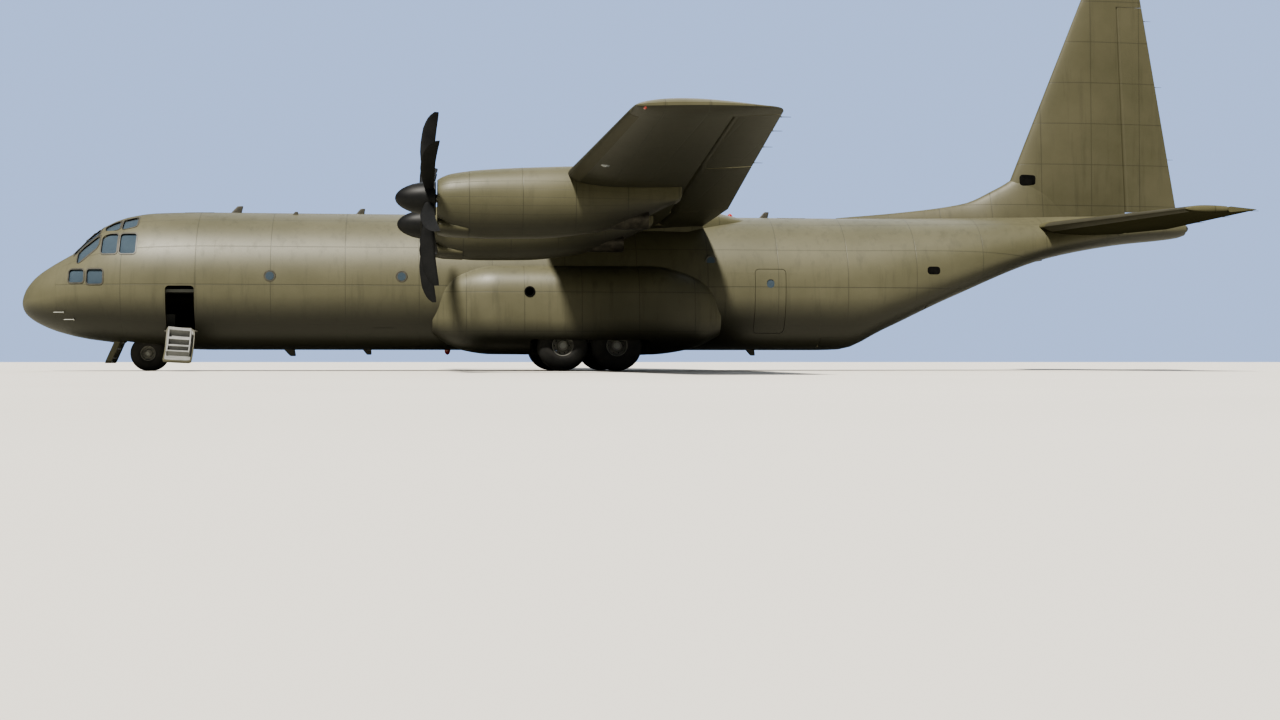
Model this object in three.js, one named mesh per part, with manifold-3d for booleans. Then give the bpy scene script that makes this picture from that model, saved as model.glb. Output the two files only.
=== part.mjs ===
// A four-engined turboprop military transport aeroplane on its landing gear, at half of its real size.
// Every size is written as a full-size metre and turned into half-scale millimetres by one factor, M.
// x runs aft from the nose tip, y to starboard (the aeroplane's right) and z up from the ground.
// The fuselage is hollow: radome, flight deck section, hold and upswept tail, with the crew door open.
import * as THREE from 'three';
import { mergeVertices } from 'three/addons/utils/BufferGeometryUtils.js';
import Module from 'manifold-3d';

const wasm = await Module();
wasm.setup();

// Driving dimensions, full size in metres
const M = 500;
const SEAT = 0.3 / M;
const CLEAR = 5 / M;
const LENGTH = 34.36;
const HALF_SPAN = 20.2;
const HEIGHT = 11.81;
const WALL = 0.13;
const AFT_WALL = 0.09;
const FORWARD_JOINT = 5.5;
const AFT_JOINT = 22.5;
const FLOOR = 1.03;
const DECK = 2.25;

// Finishes
const finish = (color, roughness, metalness = 0) =>
  new THREE.MeshStandardMaterial({ color, roughness, metalness });
const AIRFRAME = finish(0x77755f, 0.6);
const RADOME = finish(0x5f6156, 0.6);
const RUBBER = finish(0x1d1d1c, 0.9);
const BLADE = finish(0x20221f, 0.5);
const GEAR = finish(0xb9bab4, 0.45, 0.2);
const ENGINE = finish(0x6f6c66, 0.5, 0.6);
const GLASS = finish(0x26313a, 0.1);
const INTERIOR = finish(0x8a8d88, 0.7);

const aircraft = new THREE.Group();

// Full-size metres to the part's own frame in millimetres: origin on the ground under the middle
const at = (x, y, z) => new THREE.Vector3((x - LENGTH / 2) * M, y * M, z * M);

// A closed mesh of points and triangles as a solid, its faces turned outwards
function solidFrom(points, triangles) {
  let volume = 0;
  for (let i = 0; i < triangles.length; i += 3) {
    const [a, b, c] = [0, 1, 2].map((k) => points[triangles[i + k]]);
    volume += a.dot(b.clone().cross(c));
  }
  const order = volume < 0 ? [0, 2, 1] : [0, 1, 2];
  const triVerts = new Uint32Array(triangles.length);
  for (let i = 0; i < triangles.length; i += 3) {
    order.forEach((k, n) => { triVerts[i + n] = triangles[i + k]; });
  }
  const vertProperties = new Float32Array(points.flatMap((p) => p.toArray()));
  return new wasm.Manifold(new wasm.Mesh({ numProp: 3, vertProperties, triVerts }));
}

// A three.js geometry as a solid, after an optional matrix
function solidOf(geometry, matrix = new THREE.Matrix4()) {
  const bare = new THREE.BufferGeometry();
  bare.setAttribute('position', geometry.getAttribute('position').clone());
  bare.setIndex(geometry.index);
  bare.applyMatrix4(matrix);
  const merged = mergeVertices(bare, 1e-3);
  const position = merged.getAttribute('position');
  const points = Array.from({ length: position.count },
    (_, i) => new THREE.Vector3().fromBufferAttribute(position, i));
  const triangles = [];
  for (let i = 0; i < merged.index.count; i += 3) {
    const [a, b, c] = [0, 1, 2].map((k) => merged.index.getX(i + k));
    if (a !== b && b !== c && c !== a) triangles.push(a, b, c);
  }
  return solidFrom(points, triangles);
}

// A solid's triangles back as a geometry
function geometryOf(solid) {
  const made = solid.getMesh();
  const geometry = new THREE.BufferGeometry();
  const position = new Float32Array(made.numVert * 3);
  for (let i = 0; i < made.numVert; i += 1) {
    position.set(made.vertProperties.subarray(i * made.numProp, i * made.numProp + 3), i * 3);
  }
  geometry.setAttribute('position', new THREE.BufferAttribute(position, 3));
  geometry.setIndex(new THREE.BufferAttribute(new Uint32Array(made.triVerts), 1));
  geometry.computeVertexNormals();
  return geometry;
}

function add(name, solid, material) {
  const mesh = new THREE.Mesh(geometryOf(solid), material);
  mesh.name = name;
  aircraft.add(mesh);
}

const join = (...solids) => solids.reduce((whole, piece) => whole.add(piece));

// A box between two corners
function box(x0, x1, y0, y1, z0, z1) {
  const low = at(x0, y0, z0);
  const size = at(x1, y1, z1).sub(low);
  const middle = low.clone().addScaledVector(size, 0.5);
  return solidOf(new THREE.BoxGeometry(size.x, size.y, size.z),
    new THREE.Matrix4().makeTranslation(middle.x, middle.y, middle.z));
}

// A round bar or cone from one point to another, each [x, y, z]
function bar(from, to, radius, endRadius = radius, sides = 12) {
  const a = at(...from);
  const b = at(...to);
  const length = a.distanceTo(b);
  const turn = new THREE.Quaternion().setFromUnitVectors(
    new THREE.Vector3(0, 1, 0), b.clone().sub(a).divideScalar(length));
  const place = new THREE.Matrix4().compose(
    a.clone().add(b).multiplyScalar(0.5), turn, new THREE.Vector3(1, 1, 1));
  return solidOf(new THREE.CylinderGeometry(endRadius * M, radius * M, length, sides), place);
}

// A solid of revolution about a line along y or x through [x, y, z]; profile is [radius, along],
// turned half a facet so that a flat, and not an edge, lies lowest
function turned(profile, centre, axis, sides) {
  const outline = [...profile, profile[0]].map(([r, along]) => new THREE.Vector2(r * M, along * M));
  const matrix = new THREE.Matrix4().makeRotationY(Math.PI / sides);
  if (axis === 'x') matrix.premultiply(new THREE.Matrix4().makeRotationZ(-Math.PI / 2));
  matrix.setPosition(at(...centre));
  return solidOf(new THREE.LatheGeometry(outline, sides), matrix);
}

// A skin through rings of equal numbers of [x, y, z] points, closed by flat ends
function loft(rings, flatAxis) {
  const count = rings[0].length;
  const points = rings.flat().map((p) => at(...p));
  const triangles = [];
  for (let r = 0; r + 1 < rings.length; r += 1) {
    for (let i = 0; i < count; i += 1) {
      const j = (i + 1) % count;
      const [a, b, c, d] = [r * count + i, r * count + j, (r + 1) * count + i, (r + 1) * count + j];
      triangles.push(a, b, d, a, d, c);
    }
  }
  const keep = [0, 1, 2].filter((k) => k !== flatAxis);
  [0, rings.length - 1].forEach((r) => {
    const flat = rings[r].map((p) => new THREE.Vector2(p[keep[0]] * M, p[keep[1]] * M));
    const area = THREE.ShapeUtils.area(flat);
    const order = flat.map((_, i) => (area < 0 ? count - 1 - i : i));
    const faces = THREE.ShapeUtils.triangulateShape(order.map((i) => flat[i]), []);
    faces.forEach((f) => {
      const [a, b, c] = f.map((i) => r * count + order[i]);
      triangles.push(a, b, c);
    });
  });
  return solidFrom(points, orient(triangles));
}

// Makes neighbouring triangles run the same way round
function orient(triangles) {
  const owners = new Map();
  const total = triangles.length / 3;
  const key = (a, b) => (a < b ? `${a},${b}` : `${b},${a}`);
  for (let t = 0; t < total; t += 1) {
    for (let k = 0; k < 3; k += 1) {
      const edge = key(triangles[3 * t + k], triangles[3 * t + ((k + 1) % 3)]);
      owners.set(edge, [...(owners.get(edge) ?? []), t]);
    }
  }
  const runs = (t, a, b) => [0, 1, 2].some(
    (k) => triangles[3 * t + k] === a && triangles[3 * t + ((k + 1) % 3)] === b);
  const seen = new Set([0]);
  const queue = [0];
  while (queue.length) {
    const t = queue.pop();
    for (let k = 0; k < 3; k += 1) {
      const [a, b] = [triangles[3 * t + k], triangles[3 * t + ((k + 1) % 3)]];
      owners.get(key(a, b)).filter((n) => !seen.has(n)).forEach((n) => {
        if (runs(n, a, b)) {
          [triangles[3 * n + 1], triangles[3 * n + 2]] = [triangles[3 * n + 2], triangles[3 * n + 1]];
        }
        seen.add(n);
        queue.push(n);
      });
    }
  }
  return triangles;
}

// Fuselage sections: station, half width, top, widest height, bottom, squareness below the widest height
const FUSELAGE = [
  [0.00, 0.12, 2.02, 1.90, 1.79, 2.0],
  [0.12, 0.40, 2.30, 1.92, 1.58, 2.0],
  [0.42, 0.78, 2.66, 1.98, 1.35, 2.0],
  [0.90, 1.14, 3.00, 2.05, 1.13, 2.0],
  [1.12, 1.27, 3.13, 2.09, 1.06, 2.0],
  [1.45, 1.44, 3.32, 2.14, 0.97, 2.1],
  [1.85, 1.60, 3.72, 2.21, 0.89, 2.2],
  [2.30, 1.74, 4.08, 2.26, 0.83, 2.2],
  [2.90, 1.90, 4.34, 2.32, 0.76, 2.3],
  [3.70, 2.04, 4.47, 2.36, 0.69, 2.4],
  [5.20, 2.13, 4.51, 2.38, 0.60, 2.5],
  [22.6, 2.13, 4.51, 2.38, 0.60, 2.5],
  [23.4, 2.13, 4.51, 2.40, 0.62, 2.6],
  [24.6, 2.10, 4.52, 2.55, 1.16, 2.8],
  [26.6, 1.95, 4.55, 3.00, 2.11, 3.0],
  [29.7, 1.45, 4.62, 3.75, 3.33, 2.6],
  [32.0, 0.90, 4.66, 4.10, 3.78, 2.2],
  [34.0, 0.36, 4.55, 4.28, 4.02, 2.0],
  [34.36, 0.14, 4.44, 4.30, 4.16, 2.0],
];
const AROUND = 32;

// The section at any station, between the rows of the table
function section(x) {
  const row = FUSELAGE.findIndex((s) => s[0] >= x - 1e-9);
  if (row <= 0) return [x, ...FUSELAGE[Math.max(row, 0)].slice(1)];
  const [a, b] = [FUSELAGE[row - 1], FUSELAGE[row]];
  const share = (x - a[0]) / (b[0] - a[0]);
  return a.map((value, i) => value + share * (b[i] - value));
}

function fuselageRing([x, width, top, middle, bottom, square], grow) {
  return Array.from({ length: AROUND }, (_, i) => {
    const angle = (2 * Math.PI * i) / AROUND;
    const [c, s] = [Math.cos(angle), Math.sin(angle)];
    if (s >= -1e-9) return [x, (width + grow) * c, middle + (top + grow - middle) * s];
    const power = 2 / square;
    return [x, (width + grow) * Math.sign(c) * Math.abs(c) ** power,
      middle - (middle - bottom + grow) * Math.abs(s) ** power];
  });
}

// The fuselage's outer form between two stations, made larger or smaller all round by grow
function fuselage(from, to, grow = 0) {
  const between = FUSELAGE.map((s) => s[0]).filter((x) => x > from + 0.02 && x < to - 0.02);
  return loft([from, ...between, to].map((x) => fuselageRing(section(x), grow)), 0);
}

// Aerofoil outlines: half thickness of a symmetrical section one unit long
const halfThickness = (x, t) => 5 * t
  * (0.2969 * Math.sqrt(x) - 0.126 * x - 0.3516 * x ** 2 + 0.2843 * x ** 3 - 0.1036 * x ** 4);
const CHORD_STEPS = [0.52, 0.3, 0.14, 0.045, 0.01];
const TAIL_EDGE = 0.003;
const SKIN = 0.026;

// Fixed part of a section: nose to the chord fraction `end`, with a flat rear face
function fixedOutline(t, camber, end, grow) {
  const rise = (x) => 4 * camber * x * (1 - x);
  const steps = [end, ...CHORD_STEPS.filter((x) => x < end - 0.05)];
  const half = (x) => Math.max(halfThickness(x, t), TAIL_EDGE) + grow;
  const stretch = (x) => (x === end ? x + grow : x);
  return [
    ...steps.map((x) => [stretch(x), rise(x) + half(x)]),
    [-grow, 0],
    ...[...steps].reverse().map((x) => [stretch(x), rise(x) - half(x)]),
  ];
}

// Hollow inside a section between two chord fractions, a wall's thickness within its skin
function hollowOutline(t, from, to, wall) {
  const steps = [to, 0.5 * (from + to), from];
  const half = (x) => halfThickness(x, t) - wall;
  return [...steps.map((x) => [x, half(x)]), ...[...steps].reverse().map((x) => [x, -half(x)])];
}

// Moving part of a section: round nose about the hinge at chord fraction `hinge`, to the trailing edge
function movingOutline(t, camber, hinge) {
  const radius = halfThickness(hinge, t);
  const rise = 4 * camber * hinge * (1 - hinge);
  const nose = [90, 135, 180, 225, 270].map((degrees) => {
    const angle = THREE.MathUtils.degToRad(degrees);
    return [hinge + radius * Math.cos(angle), rise + radius * Math.sin(angle)];
  });
  return [[1, TAIL_EDGE], ...nose, [1, -TAIL_EDGE]];
}

// Hollow inside such a moving part, a wall's thickness within its skin
function movingHollow(t, hinge, wall) {
  const radius = halfThickness(hinge, t);
  const rear = 1 - 1.5 * wall * (1 - hinge) / radius;
  return [[rear, 0], [hinge, radius - wall], [hinge - radius + wall, 0], [hinge, wall - radius]];
}

// Wing stations: y, leading edge x, chord, quarter chord height, incidence in degrees, thickness
const WING_LE = 14.3;
const WING_ROOT = 4.29;
const DIHEDRAL = 0.032;
const WING_BREAK = 5.59;
const ROOT_CHORD = 4.88;
const TIP_CHORD = 2.78;
const TIP_SWEEP = 0.12;
function wingStation(y) {
  const share = Math.max(0, (Math.abs(y) - WING_BREAK) / (HALF_SPAN - WING_BREAK));
  const chord = ROOT_CHORD + share * (TIP_CHORD - ROOT_CHORD);
  return {
    chord,
    quarter: WING_LE + 0.25 * ROOT_CHORD + TIP_SWEEP * share,
    height: WING_ROOT + DIHEDRAL * Math.abs(y),
    incidence: THREE.MathUtils.degToRad(2.5 * (1 - share)),
    thickness: 0.18 - 0.06 * share,
  };
}
const WING_CAMBER = 0.018;

function wingRing(y, outline) {
  const { chord, quarter, height, incidence } = wingStation(y);
  return outline.map(([along, up]) => {
    const [dx, dz] = [(along - 0.25) * chord, up * chord];
    return [quarter + dx * Math.cos(incidence) + dz * Math.sin(incidence), y,
      height + dz * Math.cos(incidence) - dx * Math.sin(incidence)];
  });
}
const wingPart = (ys, end, grow = 0) => loft(ys.map((y) => {
  const { chord, thickness } = wingStation(y);
  return wingRing(y, fixedOutline(thickness, WING_CAMBER, end, grow / chord));
}), 1);
const wingMover = (ys, hinge) => loft(ys.map((y) => wingRing(
  y, movingOutline(wingStation(y).thickness, WING_CAMBER, hinge))), 1);

const FLAP_HINGE = 0.74;
const AILERON_HINGE = 0.73;
// The fixed wing ends ahead of the round nose of what moves behind it
const wingEnd = (y, hinge) => hinge - halfThickness(hinge, wingStation(y).thickness)
  - CLEAR / wingStation(y).chord;
const FLAP_ROOT = 2.4;
const FLAP_SPLIT = WING_BREAK;
const FLAP_TIP = 12.9;
const AILERON_ROOT = 13.0;
const AILERON_TIP = 19.5;

const centreWing = (grow) => wingPart([-WING_BREAK, 0, WING_BREAK], wingEnd(0, FLAP_HINGE), grow)
  .add(wingPart([-FLAP_ROOT + 0.03, 0, FLAP_ROOT - 0.03], 1, grow));

// Outer panel: the two flap and aileron bays, up to the wing tip
const TIP_ROOT = AILERON_TIP + 2 * CLEAR;
const OUTER_STATIONS = [FLAP_SPLIT + SEAT, FLAP_TIP + 0.05, TIP_ROOT];
const OUTER_END = Math.min(...OUTER_STATIONS.map((y) => wingEnd(y, AILERON_HINGE)));
const outerWing = (side, grow) => wingPart(OUTER_STATIONS.map((y) => side * y), OUTER_END, grow);

// A hinge bracket on the fixed part, reaching to just short of the moving part's round nose
function bracket(stationOf, ringOf, pair, flatAxis, camber = 0) {
  return loft(pair.map((place) => {
    const { chord, thickness, hinge, end } = stationOf(place);
    const rise = 4 * camber * hinge * (1 - hinge);
    const rear = hinge - halfThickness(hinge, thickness) - SEAT / chord;
    const half = 0.02 / chord;
    return ringOf(place, [[rear, rise + half], [end - 0.03, rise + half],
      [end - 0.03, rise - half], [rear, rise - half]]);
  }), flatAxis);
}
const BRACKET = 0.14;
const wingBracket = (side, y, hinge, end) => bracket((place) => ({ ...wingStation(place), hinge, end }),
  wingRing, [side * y, side * (y + BRACKET)], 1, WING_CAMBER);

// Tail surfaces: the stabilizer's stations run along y and the fin's along z.
// movable adds to a tail station where its fixed part ends ahead of the moving part's nose
const movable = (station) => ({ ...station,
  end: station.hinge - halfThickness(station.hinge, station.thickness) - CLEAR / station.chord });
const TAIL_HEIGHT = 4.22;
const TAIL_HALF_SPAN = 8.02;
const ELEVATOR_AXIS = 32.0;
function tailStation(y) {
  const share = Math.abs(y) / TAIL_HALF_SPAN;
  const front = 28.95 + 1.85 * share;
  const chord = 33.3 - 0.6 * share - front;
  return movable({ front, chord, hinge: (ELEVATOR_AXIS - front) / chord, thickness: 0.11 });
}
function tailRing(y, outline) {
  const { front, chord } = tailStation(y);
  return outline.map(([along, up]) => [front + along * chord, y, TAIL_HEIGHT + up * chord]);
}
const FIN_TOP = HEIGHT;
const RUDDER_FOOT = 4.8;
const RUDDER_HEAD = 11.0;
function finStation(z) {
  const front = 28.22 + 0.404 * (z - 4.4);
  const rear = 34.05 - 0.178 * (z - 4.4);
  const hinge = 32.45 - 0.053 * (z - RUDDER_FOOT);
  const chord = rear - front;
  return movable({ front, chord, hinge: (hinge - front) / chord, thickness: 0.1 });
}
function finRing(z, outline, level = z) {
  const { front, chord } = finStation(z);
  return outline.map(([along, side]) => [front + along * chord, side * chord, level]);
}

// Radome: the round nose cap over the weather radar
const RADOME_END = 1.12;
add('radome', fuselage(0, RADOME_END - SEAT), RADOME);

// Flight deck section: skin with its windows, crew doorway and nose wheel well cut
const CREW_DOOR = { front: 4.18, rear: 4.96, sill: 1.12, head: 2.34 };
const crewHinge = [0, -1.72, CREW_DOOR.sill - 0.02];
const NOSE_WELL = { front: 2.76, rear: 4.24, half: 0.72 };
// Window openings: station from and to, y from and to on one side, z from and to
const WINDOWS = [
  [1.56, 2.24, -0.27, 0.27, 3.0, 4.6],
  [1.56, 2.24, 0.35, 0.86, 3.0, 4.6],
  [1.70, 2.28, 0.94, 1.32, 2.95, 4.2],
  [2.38, 2.82, 1.1, 2.2, 3.24, 3.80],
  [2.90, 3.34, 1.1, 2.2, 3.24, 3.80],
  [2.40, 2.82, 0.6, 1.12, 3.9, 4.6],
  [2.90, 3.30, 0.66, 1.18, 3.9, 4.6],
  [1.50, 1.92, 1.0, 2.2, 2.44, 2.80],
  [2.02, 2.46, 1.0, 2.2, 2.40, 2.80],
];
const mirrored = (rows) => rows.flatMap((w) => (w[2] < 0 ? [w]
  : [w, [w[0], w[1], -w[3], -w[2], w[4], w[5]]]));
const crewDoorway = box(CREW_DOOR.front, CREW_DOOR.rear, -2.6, -1.0, CREW_DOOR.sill, CREW_DOOR.head);
let forward = fuselage(RADOME_END, FORWARD_JOINT - SEAT)
  .subtract(fuselage(RADOME_END + WALL, FORWARD_JOINT + 1, -WALL))
  .subtract(crewDoorway)
  .subtract(box(NOSE_WELL.front, NOSE_WELL.rear, -NOSE_WELL.half, NOSE_WELL.half, 0.2, 1.3));
mirrored(WINDOWS).forEach((w) => { forward = forward.subtract(box(...w)); });
const knuckles = [[CREW_DOOR.front - 0.06, CREW_DOOR.front + CLEAR - SEAT],
  [CREW_DOOR.rear - CLEAR + SEAT, CREW_DOOR.rear + 0.06]].map(([from, to]) => box(
  from, to, crewHinge[1] - 0.025, -1.58, crewHinge[2] - 0.025, crewHinge[2] + 0.025));
add('fuselage_forward', join(forward, ...knuckles), AIRFRAME);

// Glazing: one curved sheet behind all the window openings
const PANE = 0.03;
const glass = fuselage(1.45, 3.7, -WALL - SEAT)
  .subtract(fuselage(1.2, 4.2, -WALL - PANE))
  .intersect(box(1.4, 3.8, -2.2, 2.2, 2.36, 4.5));
add('cockpit_glass', glass, GLASS);

// Flight deck: floor, rear bulkhead, instrument panel, pedestal and two seats
const insideForward = fuselage(1.3, FORWARD_JOINT, -WALL - SEAT);
const insideGlass = fuselage(1.3, FORWARD_JOINT, -WALL - PANE - 4 * SEAT);
function seat(side) {
  const y = 0.58 * side;
  return join(
    box(2.85, 3.35, y - 0.26, y + 0.26, DECK + 0.34, DECK + 0.5),
    box(3.28, 3.42, y - 0.26, y + 0.26, DECK + 0.4, DECK + 1.14),
    box(2.98, 3.22, y - 0.12, y + 0.12, DECK - 0.05, DECK + 0.4));
}
const deckFloor = join(
  box(1.9, 5.36, -2.2, 2.2, DECK - 0.08, DECK).intersect(insideForward),
  box(5.3, 5.38, -2.2, 2.2, DECK - 0.08, 4.6).intersect(insideForward));
const deckFittings = join(
  box(2.0, 2.24, -1.12, 1.12, DECK - 0.04, 3.12).intersect(insideGlass),
  box(2.2, 2.9, -0.17, 0.17, DECK - 0.04, DECK + 0.46),
  seat(-1), seat(1));
add('flight_deck', deckFloor.add(deckFittings), INTERIOR);

// Hold: the long parallel tube, cut for the wing and the two paratroop doors
const PARATROOP = { front: 20.56, rear: 21.46, sill: 1.07, head: 2.9 };
const holdShell = fuselage(FORWARD_JOINT, AFT_JOINT - SEAT)
  .subtract(fuselage(FORWARD_JOINT - 1, AFT_JOINT + 1, -WALL));
const doorway = (side, gap) => box(PARATROOP.front + gap, PARATROOP.rear - gap,
  side > 0 ? 1 : -2.5, side > 0 ? 2.5 : -1, PARATROOP.sill + gap, PARATROOP.head - gap);
add('fuselage_centre', holdShell.subtract(centreWing(SEAT))
  .subtract(doorway(-1, 0)).subtract(doorway(1, 0)), AIRFRAME);
['left', 'right'].forEach((side, i) => {
  add(`paratroop_door_${side}`, holdShell.intersect(doorway(i ? 1 : -1, SEAT)), AIRFRAME);
});
add('cargo_floor', box(4.3, AFT_JOINT - 0.02, -2, 2, FLOOR - 0.24, FLOOR)
  .intersect(fuselage(4.0, AFT_JOINT + 1, -WALL - SEAT)), INTERIOR);

// Crew door: its own piece of the skin with steps inside, hung open from the sill
const CREW_OPEN = 115;
const doorSkin = fuselage(4, FORWARD_JOINT).subtract(fuselage(3.9, FORWARD_JOINT + 1, -0.09))
  .intersect(box(CREW_DOOR.front + CLEAR, CREW_DOOR.rear - CLEAR, -2.6, -1,
    CREW_DOOR.sill + CLEAR, CREW_DOOR.head - CLEAR));
const insideDoor = fuselage(4, FORWARD_JOINT, -0.05).subtract(fuselage(3.9, FORWARD_JOINT + 1, -0.24));
const steps = [1.34, 1.62, 1.9].map((z) => box(
  CREW_DOOR.front + 0.1, CREW_DOOR.rear - 0.1, -2.6, -1, z, z + 0.05).intersect(insideDoor));
const hingePlate = bar([CREW_DOOR.front + CLEAR, crewHinge[1], crewHinge[2]],
  [CREW_DOOR.rear - CLEAR, crewHinge[1], crewHinge[2]], 0.025, 0.025, 8);
const hingeArm = box(CREW_DOOR.front + 0.1, CREW_DOOR.rear - 0.1, crewHinge[1] - 0.02,
  crewHinge[1] + 0.12, crewHinge[2], CREW_DOOR.sill + 0.05)
  .subtract(fuselage(4, FORWARD_JOINT, 3 * CLEAR).intersect(box(4, 5.2, -2, 0, 0, CREW_DOOR.sill + CLEAR)));
const closedDoor = join(doorSkin, ...steps, hingePlate, hingeArm);
const swing = new THREE.Matrix4().makeRotationX(THREE.MathUtils.degToRad(CREW_OPEN));
const pivot = at(0, crewHinge[1], crewHinge[2]);
const swingDoor = new THREE.Matrix4().makeTranslation(pivot.x, pivot.y, pivot.z)
  .multiply(swing).multiply(new THREE.Matrix4().makeTranslation(-pivot.x, -pivot.y, -pivot.z));
add('crew_door', solidOf(geometryOf(closedDoor), swingDoor), AIRFRAME);

// Upswept tail: hollow almost to its tip, with the ramp and cargo door cut out of its underside
const RAMP = { front: 22.6, rear: 25.73, half: 1.5, rearTop: 1.8 };
const CARGO = { front: 25.78, rear: 29.5, half: 1.38, rearHalf: 0.92, hinge: 3.34 };
const HOLLOW_END = 33.6;
// A flat trapezium in plan between two heights
function plate(x0, x1, half0, half1, z0, z1) {
  return loft([z0, z1].map((z) => [
    [x0, -half0, z], [x1, -half1, z], [x1, half1, z], [x0, half0, z]]), 2);
}
const aftForm = fuselage(AFT_JOINT, LENGTH);
const aftHollow = fuselage(AFT_JOINT - 1, HOLLOW_END, -AFT_WALL);
const stabilizerForm = (grow) => loft([-TAIL_HALF_SPAN, -7.98, 0, 7.98, TAIL_HALF_SPAN]
  .map((y) => tailRing(y, fixedOutline(tailStation(y).thickness * (Math.abs(y) > 8 ? 0.4 : 1),
    0, tailStation(y).end, grow / tailStation(y).chord))), 1);
add('fuselage_aft', aftForm.subtract(aftHollow)
  .subtract(plate(RAMP.front, CARGO.front, RAMP.half + CLEAR, RAMP.half + CLEAR, 0.1, 2.4))
  .subtract(plate(CARGO.front - 0.05, CARGO.rear + CLEAR, CARGO.half + CLEAR,
    CARGO.rearHalf + CLEAR, 0.1, 3.62))
  .subtract(stabilizerForm(SEAT))
  .add(box(RAMP.front - 0.03, RAMP.front + CLEAR - SEAT, 0.9, 1.1, 0.67, 0.76))
  .add(box(RAMP.front - 0.03, RAMP.front + CLEAR - SEAT, -1.1, -0.9, 0.67, 0.76))
  .add(box(CARGO.rear + SEAT, CARGO.rear + 0.04, -0.6, 0.6, 3.27, 3.33)), AIRFRAME);
const rampTop = loft([-RAMP.half, RAMP.half].map((y) => [
  [RAMP.front + CLEAR, y, 0.2], [RAMP.rear - CLEAR, y, 0.2],
  [RAMP.rear - CLEAR, y, RAMP.rearTop], [RAMP.front + CLEAR, y, FLOOR]]), 1);
add('cargo_ramp', aftForm.intersect(rampTop), AIRFRAME);
add('cargo_door', aftForm.subtract(aftHollow)
  .intersect(plate(CARGO.front, CARGO.rear, CARGO.half, CARGO.rearHalf, 0.1, 3.6))
  .subtract(box(CARGO.rear - 0.04, CARGO.rear + 0.1, -1, 1, CARGO.hinge + 0.01, 3.7)), AIRFRAME);

// Wing: one centre piece through the roof with its fairing, two outer panels, flaps and ailerons
const fairing = loft([[13.2, 0.9, 4.45], [14.0, 1.3, 4.72], [15.2, 1.62, 4.86], [17.6, 1.62, 4.84],
  [19.4, 1.2, 4.68], [20.6, 0.8, 4.45]].map(([x, half, top]) => [
  [x, -half, 4.2], [x, half, 4.2], [x, half, top - 0.16], [x, half * 0.7, top - 0.04],
  [x, 0, top], [x, -half * 0.7, top - 0.04], [x, -half, top - 0.16]]), 0)
  .subtract(fuselage(12, 22, SEAT));
const innerBrackets = [-1, 1].flatMap((side) => [FLAP_ROOT, FLAP_SPLIT - CLEAR - BRACKET].map(
  (y) => wingBracket(side, y, FLAP_HINGE, wingEnd(0, FLAP_HINGE))));
add('wing_centre', join(centreWing(0), fairing, ...innerBrackets), AIRFRAME);
['left', 'right'].forEach((side, i) => {
  const s = i ? 1 : -1;
  const spans = (from, to) => [s * from, s * to];
  const tip = loft([[TIP_ROOT, 1, 1], [HALF_SPAN - 0.14, 1, 1], [HALF_SPAN, 0.9, 0.4]].map(
    ([y, end, fat]) => wingRing(s * y, fixedOutline(
      fat * wingStation(y).thickness, WING_CAMBER, end, 0))), 1);
  const brackets = [
    [FLAP_SPLIT + CLEAR, FLAP_HINGE], [FLAP_TIP - BRACKET, FLAP_HINGE],
    [AILERON_ROOT, AILERON_HINGE], [AILERON_TIP - BRACKET, AILERON_HINGE],
  ].map(([y, hinge]) => wingBracket(s, y, hinge, OUTER_END));
  add(`wing_${side}`, join(outerWing(s, 0), tip, ...brackets), AIRFRAME);
  add(`flap_inner_${side}`, wingMover(spans(FLAP_ROOT, FLAP_SPLIT - CLEAR), FLAP_HINGE), AIRFRAME);
  add(`flap_outer_${side}`, wingMover(spans(FLAP_SPLIT + CLEAR, FLAP_TIP), FLAP_HINGE), AIRFRAME);
  add(`aileron_${side}`, wingMover(spans(AILERON_ROOT, AILERON_TIP), AILERON_HINGE), AIRFRAME);
});

// Engines: nacelle skin, engine block with its shaft, and a feathered six-blade propeller each
const PROP_PLANE = 11.3;
const PROP_RADIUS = 2.055;
const NACELLE_WALL = 0.05;
// Nacelle sections: station, half width, top and bottom from the thrust line
const NACELLE = [
  [11.48, 0.45, 0.45, -0.56],
  [11.8, 0.54, 0.58, -0.84],
  [12.6, 0.60, 0.69, -0.93],
  [13.8, 0.62, 0.76, -0.92],
  [15.0, 0.56, 0.80, -0.80],
  [16.0, 0.44, 0.74, -0.56],
  [17.0, 0.22, 0.60, -0.10],
];
const NACELLE_SIDES = 14;
function nacelleForm(y, thrust, grow = 0) {
  const rows = NACELLE.map((r, i) => [i === 0 ? r[0] - grow : r[0], ...r.slice(1)]);
  return loft(rows.map(([x, half, top, bottom]) => Array.from({ length: NACELLE_SIDES }, (_, i) => {
    const angle = (2 * Math.PI * i) / NACELLE_SIDES;
    const up = Math.sin(angle) >= 0 ? top + grow : -(bottom - grow);
    return [x, y + (half + grow) * Math.cos(angle), thrust + up * Math.sin(angle)];
  })), 0);
}
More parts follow.
